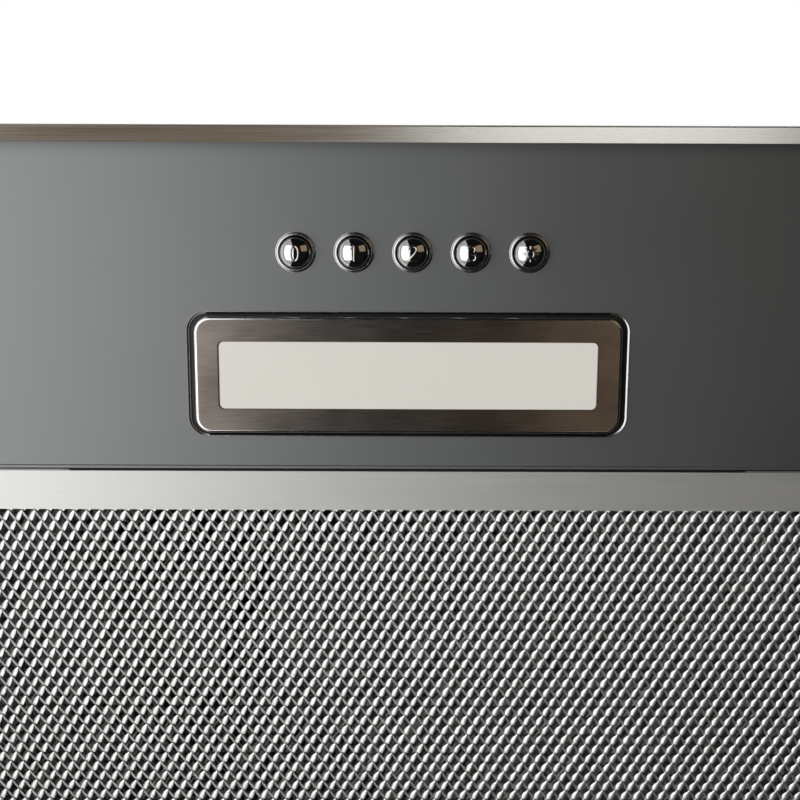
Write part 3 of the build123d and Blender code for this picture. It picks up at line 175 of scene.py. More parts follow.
# ---------------------------------------------------------------- materials: finishes
def brushed_stainless_rim():
    """Ground stainless strip: long fine lines along each side that drag the highlights across."""
    made, tree, shader, place = finish(
        "brushed_stainless_rim", {"Metallic": 1.0, "Roughness": 0.3, "Anisotropic": 0.75}
    )
    mitre = 0.115  # metres that the rim is longer than it is deep, from the middle to each corner
    apart = add(tree, "ShaderNodeSeparateXYZ", {0: place})
    across = add(tree, "ShaderNodeMath", {0: apart.outputs["X"]}, operation="ABSOLUTE")
    along = add(tree, "ShaderNodeMath", {0: apart.outputs["Y"]}, operation="ABSOLUTE")
    reach = add(tree, "ShaderNodeMath", {0: across.outputs[0], 1: along.outputs[0]}, operation="SUBTRACT")
    side = add(tree, "ShaderNodeMath", {0: reach.outputs[0], 1: mitre}, operation="GREATER_THAN")
    # a 120 grit belt leaves lines about 0.1 mm apart; they are drawn 0.25 mm apart, so that they show
    lines_x = grain(tree, place, (60.0, 0.25, 0.25), 3.0)
    lines_y = grain(tree, place, (0.25, 60.0, 0.25), 3.0)
    lines = add(tree, "ShaderNodeMix", {0: side.outputs[0], 2: lines_x, 3: lines_y}, data_type="FLOAT")
    tangent = add(
        tree,
        "ShaderNodeMix",
        {0: side.outputs[0], 4: (0.0, 1.0, 0.0), 5: (1.0, 0.0, 0.0)},
        data_type="VECTOR",
    )
    tree.links.new(tangent.outputs[1], shader.inputs["Tangent"])
    tint(tree, shader, lines.outputs[0], "#a8a49e", "#cfccc7")
    gloss(tree, shader, lines.outputs[0], 0.24, 0.36)
    relief(tree, shader, lines.outputs[0], 0.012)
    return made


def satin_steel_face():
    """Steel sheet under a thin grey satin coat: a soft even sheen with no grain, only faint clouds."""
    made, tree, shader, place = finish(
        "satin_steel_face", {"Metallic": 0.95, "Roughness": 0.54, "Coat Weight": 0.05, "Coat Roughness": 0.3}
    )
    clouds = grain(tree, place, (70.0, 70.0, 70.0), 2.0)
    orange_peel = grain(tree, place, (0.9, 0.9, 0.9), 2.0)
    tint(tree, shader, clouds, "#888a8b", "#8b8d8e")
    gloss(tree, shader, clouds, 0.53, 0.555)
    relief(tree, shader, orange_peel, 0.002)
    return made


def pressed_face_edge():
    """The face's sheet where a punch drew it into an edge: burnished, so it catches a thin bright line."""
    made, tree, shader, place = finish("pressed_face_edge", {"Metallic": 1.0, "Roughness": 0.22})
    wear_and_shade_grain = grain(tree, place, (1.5, 1.5, 1.5), 2.0)
    tint(tree, shader, wear_and_shade_grain, "#b4b5b6", "#c2c2c2")
    gloss(tree, shader, wear_and_shade_grain, 0.18, 0.28)
    relief(tree, shader, wear_and_shade_grain, 0.003)
    return made


def painted_gap_shade():
    """Dull dark steel on the edges that line the narrow gaps: painted shade, so the gaps beside it look deep.
    """
    made, tree, shader, place = finish("painted_gap_shade", {"Metallic": 1.0, "Roughness": 0.5})
    wear_and_shade_grain = grain(tree, place, (1.0, 1.0, 0.3), 2.0)
    # painted shade: near-black greys for the dark inside narrow gaps
    tint(tree, shader, wear_and_shade_grain, "#2f2f30", "#3c3c3c")
    gloss(tree, shader, wear_and_shade_grain, 0.45, 0.55)
    relief(tree, shader, wear_and_shade_grain, 0.004)
    return made


def galvanised_sheet():
    """Hot-dip zinc on steel: large flat crystals of slightly different greys, dull and a little uneven."""
    made, tree, shader, place = finish("galvanised_sheet", {"Metallic": 1.0, "Roughness": 0.42})
    crystal = 9.0  # millimetres across, as on hot-dipped sheet
    per_metre = (1 / (crystal * mm),) * 3
    scaled = add(tree, "ShaderNodeVectorMath", {0: place, 1: per_metre}, operation="MULTIPLY")
    crystals = add(tree, "ShaderNodeTexVoronoi", {"Vector": scaled.outputs[0], "Scale": 1.0})
    shade = add(tree, "ShaderNodeSeparateColor", {0: crystals.outputs["Color"]})
    frost = grain(tree, place, (0.8, 0.8, 0.8), 4.0)
    tint(tree, shader, shade.outputs[0], "#9da2a5", "#bcc0c2", (0.0, 1.0))
    gloss(tree, shader, shade.outputs[1], 0.34, 0.52, (0.0, 1.0))
    relief(tree, shader, frost, 0.006)
    return made


def chrome_plated_cap():
    """Chrome on moulded plastic: a clean dark mirror with the softest ripple."""
    made, tree, shader, place = finish(
        "chrome_plated_cap", {"Metallic": 1.0, "Roughness": 0.04, "Base Color": ink("#c9c8c6")}
    )
    ripple = grain(tree, place, (3.0, 3.0, 3.0), 1.0)
    gloss(tree, shader, ripple, 0.03, 0.07)
    relief(tree, shader, ripple, 0.01)
    return made


def tempered_spring_steel():
    """Blued strip and wire, oiled: dark with a brown cast where it was heated."""
    made, tree, shader, place = finish("tempered_spring_steel", {"Metallic": 1.0, "Roughness": 0.32})
    heat = grain(tree, place, (6.0, 6.0, 6.0), 3.0)
    drawn = grain(tree, place, (0.3, 0.3, 4.0), 2.0)
    tint(tree, shader, heat, "#5d5c60", "#8a837b")
    gloss(tree, shader, drawn, 0.26, 0.4)
    relief(tree, shader, drawn, 0.004)
    return made


def black_moulded_plastic():
    """Injection moulded polypropylene: near black, with a fine spark-eroded texture."""
    made, tree, shader, place = finish("black_moulded_plastic", {"Roughness": 0.48, "IOR": 1.49})
    texture = grain(tree, place, (0.5, 0.5, 0.5), 4.0)
    flow = grain(tree, place, (30.0, 30.0, 12.0), 2.0)
    tint(tree, shader, flow, "#1b1b1c", "#242425")
    gloss(tree, shader, texture, 0.42, 0.56)
    relief(tree, shader, texture, 0.02)
    return made


def grey_moulded_plastic():
    """Moulded ABS in light grey: even colour, silky, faint texture."""
    made, tree, shader, place = finish("grey_moulded_plastic", {"Roughness": 0.4, "IOR": 1.53})
    texture = grain(tree, place, (0.6, 0.6, 0.6), 3.0)
    flow = grain(tree, place, (18.0, 10.0, 10.0), 2.0)
    tint(tree, shader, flow, "#8e9193", "#9a9c9d")
    gloss(tree, shader, texture, 0.34, 0.46)
    relief(tree, shader, texture, 0.015)
    return made


def white_moulded_plastic():
    """Flame-retardant moulding of the electrical pieces: warm white that yellows a little."""
    made, tree, shader, place = finish("white_moulded_plastic", {"Roughness": 0.45, "IOR": 1.55})
    texture = grain(tree, place, (0.7, 0.7, 0.7), 3.0)
    flow = grain(tree, place, (20.0, 20.0, 8.0), 2.0)
    tint(tree, shader, flow, "#dcd9d0", "#e6e4dd")
    gloss(tree, shader, texture, 0.38, 0.52)
    relief(tree, shader, texture, 0.01)
    return made


def opal_lamp_window():
    """Opal polycarbonate, dimly lit from behind: an even milky white that hardly shades from end to end."""
    made, tree, shader, place = finish(
        "opal_lamp_window",
        {
            "Roughness": 0.35,
            "IOR": 1.58,
            "Emission Color": ink("#fffaf0"),
            "Emission Strength": 0.47,
        },
    )
    milk = grain(tree, place, (25.0, 12.0, 12.0), 2.0)
    texture = grain(tree, place, (0.4, 0.4, 0.4), 2.0)
    tint(tree, shader, milk, "#8e8c87", "#92908b")
    gloss(tree, shader, texture, 0.32, 0.4)
    relief(tree, shader, texture, 0.003)
    return made


def brushed_bezel_painted_reflection():
    """Brushed aluminium: short horizontal lines under soft clouds; its dark brownish greys are a painted
    reflection of dim brown surroundings.
    """
    made, tree, shader, place = finish(
        "brushed_bezel_painted_reflection", {"Metallic": 1.0, "Roughness": 0.26, "Anisotropic": 0.5}
    )
    # the real lines are finer than a pixel; they are drawn 0.16 mm apart, so that they show as a soft grain
    lines = grain(tree, place, (9.0, 0.16, 0.16), 3.0)
    clouds = grain(tree, place, (20.0, 14.0, 14.0), 2.0)
    both = add(tree, "ShaderNodeMath", {0: lines, 1: clouds}, operation="ADD")
    half = add(tree, "ShaderNodeMath", {0: both.outputs[0], 1: 0.5}, operation="MULTIPLY")
    tangent = add(tree, "ShaderNodeCombineXYZ", {1: 1.0})
    tree.links.new(tangent.outputs[0], shader.inputs["Tangent"])
    # painted reflection: the dark brownish greys and their clouds stand in for dim brown surroundings that
    # the metal mirrors
    tint(tree, shader, half.outputs[0], "#786f68", "#989089", (0.38, 0.62))
    gloss(tree, shader, lines, 0.27, 0.35)
    relief(tree, shader, lines, 0.004)
    return made


def polished_bezel_edge():
    """Diamond-cut bevel round the bezel: bright bare aluminium with tool lines along it."""
    made, tree, shader, place = finish(
        "polished_bezel_edge", {"Metallic": 1.0, "Roughness": 0.12, "Base Color": ink("#e4e2df")}
    )
    lines = grain(tree, place, (3.0, 3.0, 0.1), 2.0)
    gloss(tree, shader, lines, 0.12, 0.2)
    relief(tree, shader, lines, 0.001)
    return made


def lamp_circuit_board():
    """White solder mask over copper: glossy, with the tracks' slight relief."""
    made, tree, shader, place = finish("lamp_circuit_board", {"Roughness": 0.3, "IOR": 1.5})
    tracks = grain(tree, place, (9.0, 1.5, 1.5), 1.0)
    tint(tree, shader, tracks, "#e9eae6", "#f0f0ec", (0.45, 0.55))
    gloss(tree, shader, tracks, 0.26, 0.34)
    relief(tree, shader, tracks, 0.03)
    return made


def rolled_aluminium_frame():
    """Mill-finish aluminium strip: pale, matte, with hardly any direction in it."""
    made, tree, shader, place = finish("rolled_aluminium_frame", {"Metallic": 0.8, "Roughness": 0.55})
    roll = grain(tree, place, (35.0, 1.2, 1.2), 3.0)
    frost = grain(tree, place, (0.35, 0.35, 0.35), 3.0)
    tint(tree, shader, roll, "#dddddb", "#e3e2e0")
    gloss(tree, shader, roll, 0.53, 0.57)
    relief(tree, shader, frost, 0.004)
    return made


def expanded_aluminium():
    """Slit and stretched aluminium foil: bright sheared facets with fine drag lines."""
    made, tree, shader, place = finish("expanded_aluminium", {"Metallic": 0.85, "Roughness": 0.32})
    drag = grain(tree, place, (0.25, 0.9, 0.25), 3.0)
    patches = grain(tree, place, (2.3, 2.3, 2.3), 2.0)
    tint(tree, shader, patches, "#c4c4c2", "#e2e2e0")
    gloss(tree, shader, drag, 0.28, 0.44)
    relief(tree, shader, drag, 0.006)
    return made


def inner_foil_painted_shade():
    """Foil of the inner layers, matte, in darker greys than the front foil: painted shade, so the filter's
    depth stays dark.
    """
    made, tree, shader, place = finish("inner_foil_painted_shade", {"Metallic": 0.8, "Roughness": 0.5})
    drag = grain(tree, place, (0.3, 1.2, 0.3), 3.0)
    patches = grain(tree, place, (6.0, 6.0, 6.0), 3.0)
    # painted shade: the front foil's aluminium, in darker greys because it lies deep in the filter
    tint(tree, shader, patches, "#545453", "#90908e")
    gloss(tree, shader, drag, 0.42, 0.58)
    relief(tree, shader, drag, 0.01)
    return made


def electrical_steel_stack():
    """Punched laminations: thin dark and bright lines across the motor's length."""
    made, tree, shader, place = finish("electrical_steel_stack", {"Metallic": 0.9, "Roughness": 0.45})
    sheets = grain(tree, place, (0.5, 40.0, 40.0), 1.0)  # 0.5 mm laminations
    tint(tree, shader, sheets, "#4b4a49", "#86857f")
    gloss(tree, shader, sheets, 0.38, 0.6)
    relief(tree, shader, sheets, 0.05)
    return made


def enamelled_copper_wire():
    """Varnished windings: red-brown copper under a glossy amber coat."""
    made, tree, shader, place = finish(
        "enamelled_copper_wire",
        {"Metallic": 0.8, "Roughness": 0.3, "Coat Weight": 0.5, "Coat Roughness": 0.12},
    )
    wires = grain(tree, place, (6.0, 0.6, 0.6), 2.0)  # 0.6 mm wire
    tint(tree, shader, wires, "#7a3a1c", "#c4713b")
    gloss(tree, shader, wires, 0.22, 0.4)
    relief(tree, shader, wires, 0.12)
    return made


def die_cast_bell():
    """Tumbled die-cast aluminium: light grey, grainy, with darker flow marks."""
    made, tree, shader, place = finish("die_cast_bell", {"Metallic": 1.0, "Roughness": 0.5})
    skin = grain(tree, place, (0.7, 0.7, 0.7), 5.0)
    flow = grain(tree, place, (14.0, 14.0, 14.0), 3.0)
    tint(tree, shader, flow, "#8f9294", "#b3b5b5")
    gloss(tree, shader, skin, 0.42, 0.62)
    relief(tree, shader, skin, 0.03)
    return made


def ground_bearing_steel():
    """Hardened and ground: clean bright steel with hair-fine rings."""
    made, tree, shader, place = finish("ground_bearing_steel", {"Metallic": 1.0, "Roughness": 0.2})
    rings = grain(tree, place, (0.2, 5.0, 5.0), 2.0)
    tint(tree, shader, rings, "#b4b6b8", "#cfd0d1")
    gloss(tree, shader, rings, 0.14, 0.26)
    relief(tree, shader, rings, 0.003)
    return made


def nitrile_rubber_washer():
    """Moulded rubber: black, dull, with a dusty bloom."""
    made, tree, shader, place = finish("nitrile_rubber_washer", {"Roughness": 0.75, "IOR": 1.52})
    bloom = grain(tree, place, (2.0, 2.0, 2.0), 4.0)
    tint(tree, shader, bloom, "#161616", "#262524")
    gloss(tree, shader, bloom, 0.68, 0.85)
    relief(tree, shader, bloom, 0.03)
    return made


def zinc_plated_screw():
    """Bright zinc with a thin blue passivation."""
    made, tree, shader, place = finish("zinc_plated_screw", {"Metallic": 1.0, "Roughness": 0.25})
    plating = grain(tree, place, (1.2, 1.2, 1.2), 3.0)
    tint(tree, shader, plating, "#b3b9c0", "#cfd1d0")
    gloss(tree, shader, plating, 0.18, 0.34)
    relief(tree, shader, plating, 0.005)
    return made


def pvc_cable_sheath():
    """Extruded PVC: grey sheath with faint lengthwise drag marks."""
    made, tree, shader, place = finish("pvc_cable_sheath", {"Roughness": 0.42, "IOR": 1.53})
    drag = grain(tree, place, (1.0, 1.0, 9.0), 2.0)
    tint(tree, shader, drag, "#66686a", "#727476")
    gloss(tree, shader, drag, 0.36, 0.5)
    relief(tree, shader, drag, 0.02)
    return made


slot_finishes = {
    "brushed_rim": brushed_stainless_rim(),
    "smooth_face": satin_steel_face(),
    "galvanised_housing": galvanised_sheet(),
    "chrome_cap": chrome_plated_cap(),
    "spring_steel": tempered_spring_steel(),
    "black_moulding": black_moulded_plastic(),
    "grey_moulding": grey_moulded_plastic(),
    "white_moulding": white_moulded_plastic(),
    "opal_window": opal_lamp_window(),
    # the bezel's dark brownish colour is a painted reflection
    "brushed_bezel": brushed_bezel_painted_reflection(),
    "circuit_board": lamp_circuit_board(),
    "aluminium_frame": rolled_aluminium_frame(),
    "aluminium_mesh": expanded_aluminium(),
    "motor_steel": electrical_steel_stack(),
    "copper_wire": enamelled_copper_wire(),
    "cast_bell": die_cast_bell(),
    "bearing_steel": ground_bearing_steel(),
    "rubber_washer": nitrile_rubber_washer(),
    "zinc_screw": zinc_plated_screw(),
    "pvc_lead": pvc_cable_sheath(),
}
pressed_edge_finish = pressed_face_edge()
# painted shade for the edges that line the gaps round the bezel and in front of the filter
gap_shade_finish = painted_gap_shade()
bezel_edge_finish = polished_bezel_edge()
# painted shade for the inner and back layers of the filter
shaded_foil_finish = inner_foil_painted_shade()

for cad_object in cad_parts.values():
    for holder in cad_object.material_slots:
        holder.material = slot_finishes[holder.material.name.split(".")[0]]


# ---------------------------------------------------------------- mesh helpers
def merge(*parts):
    """Several lists of points and faces as one."""
    points, faces = [], []
    for more_points, more_faces in parts:
        start = len(points)
        points += more_points
        faces += [tuple(start + i for i in face) for face in more_faces]
    return points, faces


def build(name, shape, body, slot, sharp=40, more_finishes=()):
    """A new piece from points in millimetres, that rides on a body.

    Edges that turn by more than so many degrees stay sharp.
    """
    points, faces = shape
    mesh = bpy.data.meshes.new(name)
    mesh.from_pydata([(x * mm, y * mm, z * mm) for x, y, z in points], [], faces)
    mesh.validate()
    mesh.shade_smooth()
    mesh.set_sharp_from_angle(angle=math.radians(sharp))
    for surface in (slot_finishes[slot], *more_finishes):
        mesh.materials.append(surface)
    piece = bpy.data.objects.new(name, mesh)
    bpy.context.scene.collection.objects.link(piece)
    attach(piece, body)
    return piece


def rounded_ring(length, width, corner, grow, x=0.0, y=0.0, steps=12):
    """Points round a rounded rectangle that has grown by this much on all sides."""
    radius = max(corner + grow, smallest_corner)
    reach_x = length / 2 + grow - radius
    reach_y = width / 2 + grow - radius
    ring = []
    for quarter, (side_x, side_y) in enumerate(((1, 1), (-1, 1), (-1, -1), (1, -1))):
        for step in range(steps + 1):
            turn = math.pi / 2 * (quarter + step / steps)
            ring.append(
                (
                    x + side_x * reach_x + radius * math.cos(turn),
                    y + side_y * reach_y + radius * math.sin(turn),
                )
            )
    return ring


def lofted(rings, closed=False):
    """Faces between rings of (points in plan, height), in order."""
    points = [(x, y, z) for ring, z in rings for x, y in ring]
    count = len(rings[0][0])
    faces = []
    for level in range(len(rings) - (0 if closed else 1)):
        above = (level + 1) % len(rings)
        for i in range(count):
            j = (i + 1) % count
            faces.append((level * count + i, level * count + j, above * count + j, above * count + i))
    return points, faces


def turned(profile, x, y, steps=64):
    """A turned shape about Z from (radius, height) pairs."""
    circle = [(math.cos(2 * math.pi * i / steps), math.sin(2 * math.pi * i / steps)) for i in range(steps)]
    rings = [([(x + r * c, y + r * s) for c, s in circle], z) for r, z in profile]
    return lofted(rings)


def wire(path, radius, closed=False, sides=10):
    """A round bar along points in space, with rounded-off ends."""
    count = len(path)
    rings = []
    for i, point in enumerate(path):
        before = path[(i - 1) % count] if closed or i else point
        after = path[(i + 1) % count] if closed or i < count - 1 else point
        along = (Vector(after) - Vector(before)).normalized()
        side = along.cross(Vector((0, 0, 1))).normalized()
        up = side.cross(along)
        ring = []
        for k in range(sides):
            turn = 2 * math.pi * k / sides
            ring.append(tuple(Vector(point) + radius * (math.cos(turn) * side + math.sin(turn) * up)))
        rings.append(ring)
    points = [p for ring in rings for p in ring]
    faces = []
    for level in range(count if closed else count - 1):
        above = (level + 1) % count
        for k in range(sides):
            j = (k + 1) % sides
            faces.append((level * sides + k, level * sides + j, above * sides + j, above * sides + k))
    if not closed:
        faces.append(tuple(range(sides))[::-1])
        faces.append(tuple((count - 1) * sides + k for k in range(sides)))
    return points, faces


# ---------------------------------------------------------------- face trims
# Each profile runs from the face inward: (place, height above the face's lower side). A negative height
# stands proud of the face, towards the kitchen.
collar_profile = (
    (6.3, 0.003),
    (6.16, -0.01),
    (6.08, -0.06),
    (6.03, -0.16),
    (6.0, -0.3),
    (5.95, -0.42),
    (5.86, -0.5),
    (5.72, -0.56),
    (5.56, -0.62),
    (5.46, -0.64),
    (5.36, -0.6),
    (5.29, -0.45),
    (5.27, -0.1),
    (5.27, sheet),
)  # place: distance from the hole's middle
recess_profile = (
    (0.34, 0.02),
    (0.3, -0.02),
    (0.2, -0.04),
    (0.04, -0.035),
    (-0.1, 0.01),
    (-0.38, 0.13),
    (-0.64, 0.25),
    (-0.74, 0.35),
    (-0.78, 0.5),
    (-0.78, sheet),
)  # place: how much larger than the cut-out
hem_profile = (
    (-1.75, 0.003),
    (-1.55, -0.02),
    (-1.44, -0.14),
    (-1.38, -0.36),
    (-1.24, -0.48),
    (-0.9, -0.52),
    (-0.52, -0.5),
    (-0.3, -0.4),
    (-0.07, -0.2),
    (0.02, -0.03),
    (0.02, 0.75),
)  # place: distance behind the opening's front edge. It ends below the filter's hooks.
hem_overlap = 0.6  # how far the hem runs past the opening at each end
recess_run_out = 3  # bands of the recess's edge that still have the face's satin look
recess_shade_start = 4  # from this band on the recess's edge is painted dark: painted shade in the gap round the bezel
unshaded_end_bands = 2  # at the two short sides the painted shade starts so many bands later, so the burnished bands stay bright there and catch a highlight
hem_shade_start = 6  # from this band on the hem is painted dark: painted shade in the gap in front of the filter
smooth_all_over = 180  # degrees, so no edge stays sharp


def button_collar(x):
    """The pressed edge of one button hole, with its soft run-out into the face."""
    return turned([(radius, face_low + up) for radius, up in collar_profile], x, button_y, 72)


def lamp_recess_edge():
    """The cut-out's edge, rolled inward round the bezel."""
    return lofted([(rounded_ring(*cutout, grow, 0, lamp_y), face_low + up) for grow, up in recess_profile])


def filter_hem_edge():
    """The folded edge of the face along the front of the filter."""
    ends = (-opening_half - hem_overlap, opening_half + hem_overlap)
    points = [(x, opening_front + behind, face_low + up) for x in ends for behind, up in hem_profile]
    count = len(hem_profile)
    return points, [(i, i + 1, count + i + 1, count + i) for i in range(count - 1)]


collars = merge(*[button_collar(x) for x in button_xs])
collar_rings = build("button_collars", collars, "hood", "smooth_face", smooth_all_over)
collar_rings.data.materials[0] = pressed_edge_finish

edge_and_shade_finishes = (pressed_edge_finish, gap_shade_finish)
recess_edge = build(
    "lamp_recess_edge", lamp_recess_edge(), "hood", "smooth_face", smooth_all_over, edge_and_shade_finishes
)
# the recess's inner bands are painted shade for the gap round the bezel; at the short sides the burnished
# bands reach further in
for face in recess_edge.data.polygons:
    band = min(face.vertices) // len(rounded_ring(*cutout, 0))
    at_short_side = abs(face.center.x) > (cutout[0] / 2 - cutout[2]) * mm
    shade_band_start = recess_shade_start + unshaded_end_bands * at_short_side
    face.material_index = int(band >= recess_run_out) + int(band >= shade_band_start)

hem_edge = build(
    "filter_hem_edge", filter_hem_edge(), "hood", "smooth_face", smooth_all_over, (gap_shade_finish,)
)
# the hem's inner bands are painted shade for the gap in front of the filter
for face in hem_edge.data.polygons:
    face.material_index = int(face.index >= hem_shade_start)


# ---------------------------------------------------------------- buttons
def dome_z(radius):
    """Height of the dome's surface at this distance from its middle."""
    ball = (cap_radius**2 + dome_height**2) / (2 * dome_height)
    return dome_tip_z + ball - math.sqrt(ball**2 - radius**2)


def curve_through(marks, steps=6):
    """A smooth line through the marks of one stroke."""
    line = []
    for i in range(len(marks) - 1):
        p0, p1 = marks[max(i - 1, 0)], marks[i]
        p2, p3 = marks[i + 1], marks[min(i + 2, len(marks) - 1)]
        for step in range(steps):
            t = step / steps
            line.append(
                tuple(
                    0.5
                    * (
                        2 * p1[k]
                        + (p2[k] - p0[k]) * t
                        + (2 * p0[k] - 5 * p1[k] + 4 * p2[k] - p3[k]) * t * t
                        + (3 * p1[k] - p0[k] - 3 * p2[k] + p3[k]) * t**3
                    )
                    for k in (0, 1)
                )
            )
    return line + [tuple(marks[-1])]


def round_mark(radius_x, radius_y, count=28):
    """A closed oval stroke."""
    turns = [2 * math.pi * i / count for i in range(count)]
    return [(radius_x * math.cos(turn), radius_y * math.sin(turn)) for turn in turns]


def straight(start, end, count=6):
    """A straight stroke."""
    steps = [i / count for i in range(count + 1)]
    return [(start[0] + (end[0] - start[0]) * t, start[1] + (end[1] - start[1]) * t) for t in steps]


# each mark is a list of strokes: (is it closed, its points to the right of the dome's middle and above it)
digit_top = 2.3  # half the height of a number
two_low = -2.15
two_hook = (
    (-1.25, 1.2),
    (-0.9, 1.95),
    (0.0, digit_top),
    (0.95, 1.9),
    (1.2, 1.1),
    (0.6, 0.0),
    (-0.5, -1.2),
    (-1.3, two_low),
)
three_top = ((-1.2, 1.65), (-0.4, 2.25), (0.7, 2.05), (1.1, 1.3), (0.7, 0.45), (-0.2, 0.15))
three_low = ((-0.2, 0.15), (0.9, -0.2), (1.3, -1.1), (0.7, -2.05), (-0.4, -2.25), (-1.3, -1.55))
one_x = 0.15
bulb_radius = 1.05
ray_start, ray_end = 1.55, 2.4  # from the dome's middle
ray_lines = [(math.cos(math.pi / 4 * i), math.sin(math.pi / 4 * i)) for i in range(8)]
lamp_rays = [
    (False, straight((ray_start * right, ray_start * up), (ray_end * right, ray_end * up), 3))
    for right, up in ray_lines
]
button_marks = (
    [(True, round_mark(1.15, digit_top))],
    [
        (False, straight((one_x, digit_top), (one_x, -digit_top))),
        (False, straight((-0.9, 1.4), (one_x, digit_top), 3)),
    ],
    [(False, curve_through(two_hook)), (False, straight((-1.3, two_low), (1.35, two_low)))],
    [(False, curve_through(three_top)), (False, curve_through(three_low))],
    [(True, round_mark(bulb_radius, bulb_radius, 20)), *lamp_rays],
)
mark_bar = 0.34  # radius of the raised strokes
mark_sink = 0.02  # how deep a stroke's middle lies in the dome

dome_inset = 0.25  # from the cap's side to where its dome starts
cap_edge = ((0.13, 0.16), (0.04, 0.3), (0.0, 0.48))  # how far inside the side, how far behind the dome's edge
flange_low, flange_high = 8.4, 9.6
flange_edge = 0.05
flange_fillet = 0.02
stem_width, stem_corner = 4.0, 0.3
stem_edge = 0.4
pinhole = 0.02  # radius left open at the turning axis


def button_cap(x):
    """Domed cap with its skirt, its flange behind the face and the square stem."""
    count = 22
    profile = [(pinhole, dome_tip_z)]
    for i in range(1, count + 1):
        radius = (cap_radius - dome_inset) * i / count
        profile.append((radius, dome_z(radius)))
    dome_edge = dome_z(cap_radius - dome_inset)
    profile += [(cap_radius - inside, dome_edge + behind) for inside, behind in cap_edge]
    profile += [
        (cap_radius, flange_low - flange_fillet),
        (flange_radius - flange_edge, flange_low),
        (flange_radius, flange_low + flange_edge),
        (flange_radius, flange_high - flange_edge),
        (flange_radius - flange_edge, flange_high),
        (pinhole, flange_high),
    ]
    stem_levels = (
        (0, flange_high),
        (0, stem_top - stem_edge),
        (-stem_edge, stem_top),
        (smallest_corner - stem_width / 2, stem_top),
    )
    stem = [
        (rounded_ring(stem_width, stem_width, stem_corner, grow, x, button_y, 3), z)
        for grow, z in stem_levels
    ]
    return merge(turned(profile, x, button_y, 72), lofted(stem))


def raised_mark(strokes, x):
    """The raised number or lamp sign on one dome."""
    parts = []
    for closed, stroke in strokes:
        path = [
            (x + right, button_y - up, dome_z(math.hypot(right, up)) - mark_sink) for right, up in stroke
        ]
        parts.append(wire(path, mark_bar, closed))
    return merge(*parts)


for button_x, cap_body, cap_node, strokes in zip(button_xs, cap_bodies, cap_nodes, button_marks):
    cap_shape = merge(button_cap(button_x), raised_mark(strokes, button_x))
    cap = build(cap_node + "_cap", cap_shape, cap_body, "chrome_cap", 50)
    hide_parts(cap_node)


# ---------------------------------------------------------------- coil springs
def close_up(spring_name):
    """Gives the spring its own copy of its mesh; nothing here closes it up by the travel of the piece that
    presses on it.
    """
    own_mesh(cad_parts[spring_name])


for cap_node in cap_nodes:
    close_up(cap_node + "_spring")
close_up("latch_spring")


# ---------------------------------------------------------------- lamp bezel
brushed, polished = 0, 1  # the bezel's two finishes, in the order of its materials
pocket_ledge = window_overlap + pocket_play
# each ring: (how much larger than its outline, height, finish of the band that starts there)
bezel_outside = (
    (0.0, bezel_high, brushed),
    (0.0, bezel_low + 1.0, brushed),
    (-0.03, bezel_low + 0.7, polished),
    (-0.12, bezel_low + 0.45, polished),
    (-0.3, bezel_low + 0.24, polished),
    (-0.52, bezel_low + 0.1, polished),
    (-0.78, bezel_low + 0.02, polished),
    (-0.95, bezel_low, brushed),
    (-1.3, bezel_low, brushed),
)
bezel_inside = (
    (0.5, bezel_low, brushed),
    (0.3, bezel_low, brushed),
    (0.12, bezel_low + 0.03, brushed),
    (0.02, bezel_low + 0.12, brushed),
    (0.0, bezel_low + 0.3, brushed),
    (0.0, pocket_z, brushed),
    (pocket_ledge, pocket_z, brushed),
    (pocket_ledge, bezel_high, brushed),
)


def bezel_shape():
    """Rings from the bezel's outer upper edge, round its bevel and face, to the window's pocket."""
    rings = [(rounded_ring(*bezel, grow, 0, lamp_y), z) for grow, z, _ in bezel_outside]
    rings += [(rounded_ring(*window, grow, 0, lamp_y), z) for grow, z, _ in bezel_inside]
    return lofted(rings, closed=True)


bezel_piece = build("lamp_bezel_ring", bezel_shape(), "hood", "brushed_bezel", 30, (bezel_edge_finish,))
bezel_bands = [surface for *_, surface in bezel_outside + bezel_inside]
ring_count = len(rounded_ring(*bezel, 0))
for face in bezel_piece.data.polygons:
    face.material_index = bezel_bands[min(face.vertices) // ring_count]
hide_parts("lamp_bezel")


# ---------------------------------------------------------------- filter mesh
bend_play = 0.08  # millimetres that a knot may lie higher or lower
width_play = 0.08  # share by which a strand may be wider or narrower
twist_play = 0.06  # radians by which a strand may lean more or less
side_overlap, front_overlap, rear_overlap = 1.5, 2, 1  # the mesh runs on under the frame by so much
latch_side_room, latch_front_room = 2.6, 3.4  # left free round the latch's case


def strand(start, end, sections, thickness, bulge=0.0):
    """One sheared strand from junction to junction: (share of its length, width, tilt about its own line).

    Its lower side bulges by a share of its width, as the slitting knife leaves it.
    """
    along = (end - start).normalized()
    flat = Vector((-along.y, along.x, 0)).normalized()
    up = along.cross(flat)
    points = []
    for share, width, tilt in sections:
        middle = start.lerp(end, share)
        lean = math.cos(tilt) * flat + math.sin(tilt) * up
        face = along.cross(lean)
        corners = [(-1, -1), (1, -1), (1, 1), (-1, 1)]
        if bulge:
            corners.insert(1, (0, -1 - 2 * bulge * width / thickness))
        for side_w, side_t in corners:
            points.append(tuple(middle + lean * (side_w * width / 2) + face * (side_t * thickness / 2)))
    sides = len(corners)
    faces = []
    for low in range(0, sides * (len(sections) - 1), sides):
        for k in range(sides):
            j = (k + 1) % sides
            faces.append((low + k, low + j, low + sides + j, low + sides + k))
    return points, faces


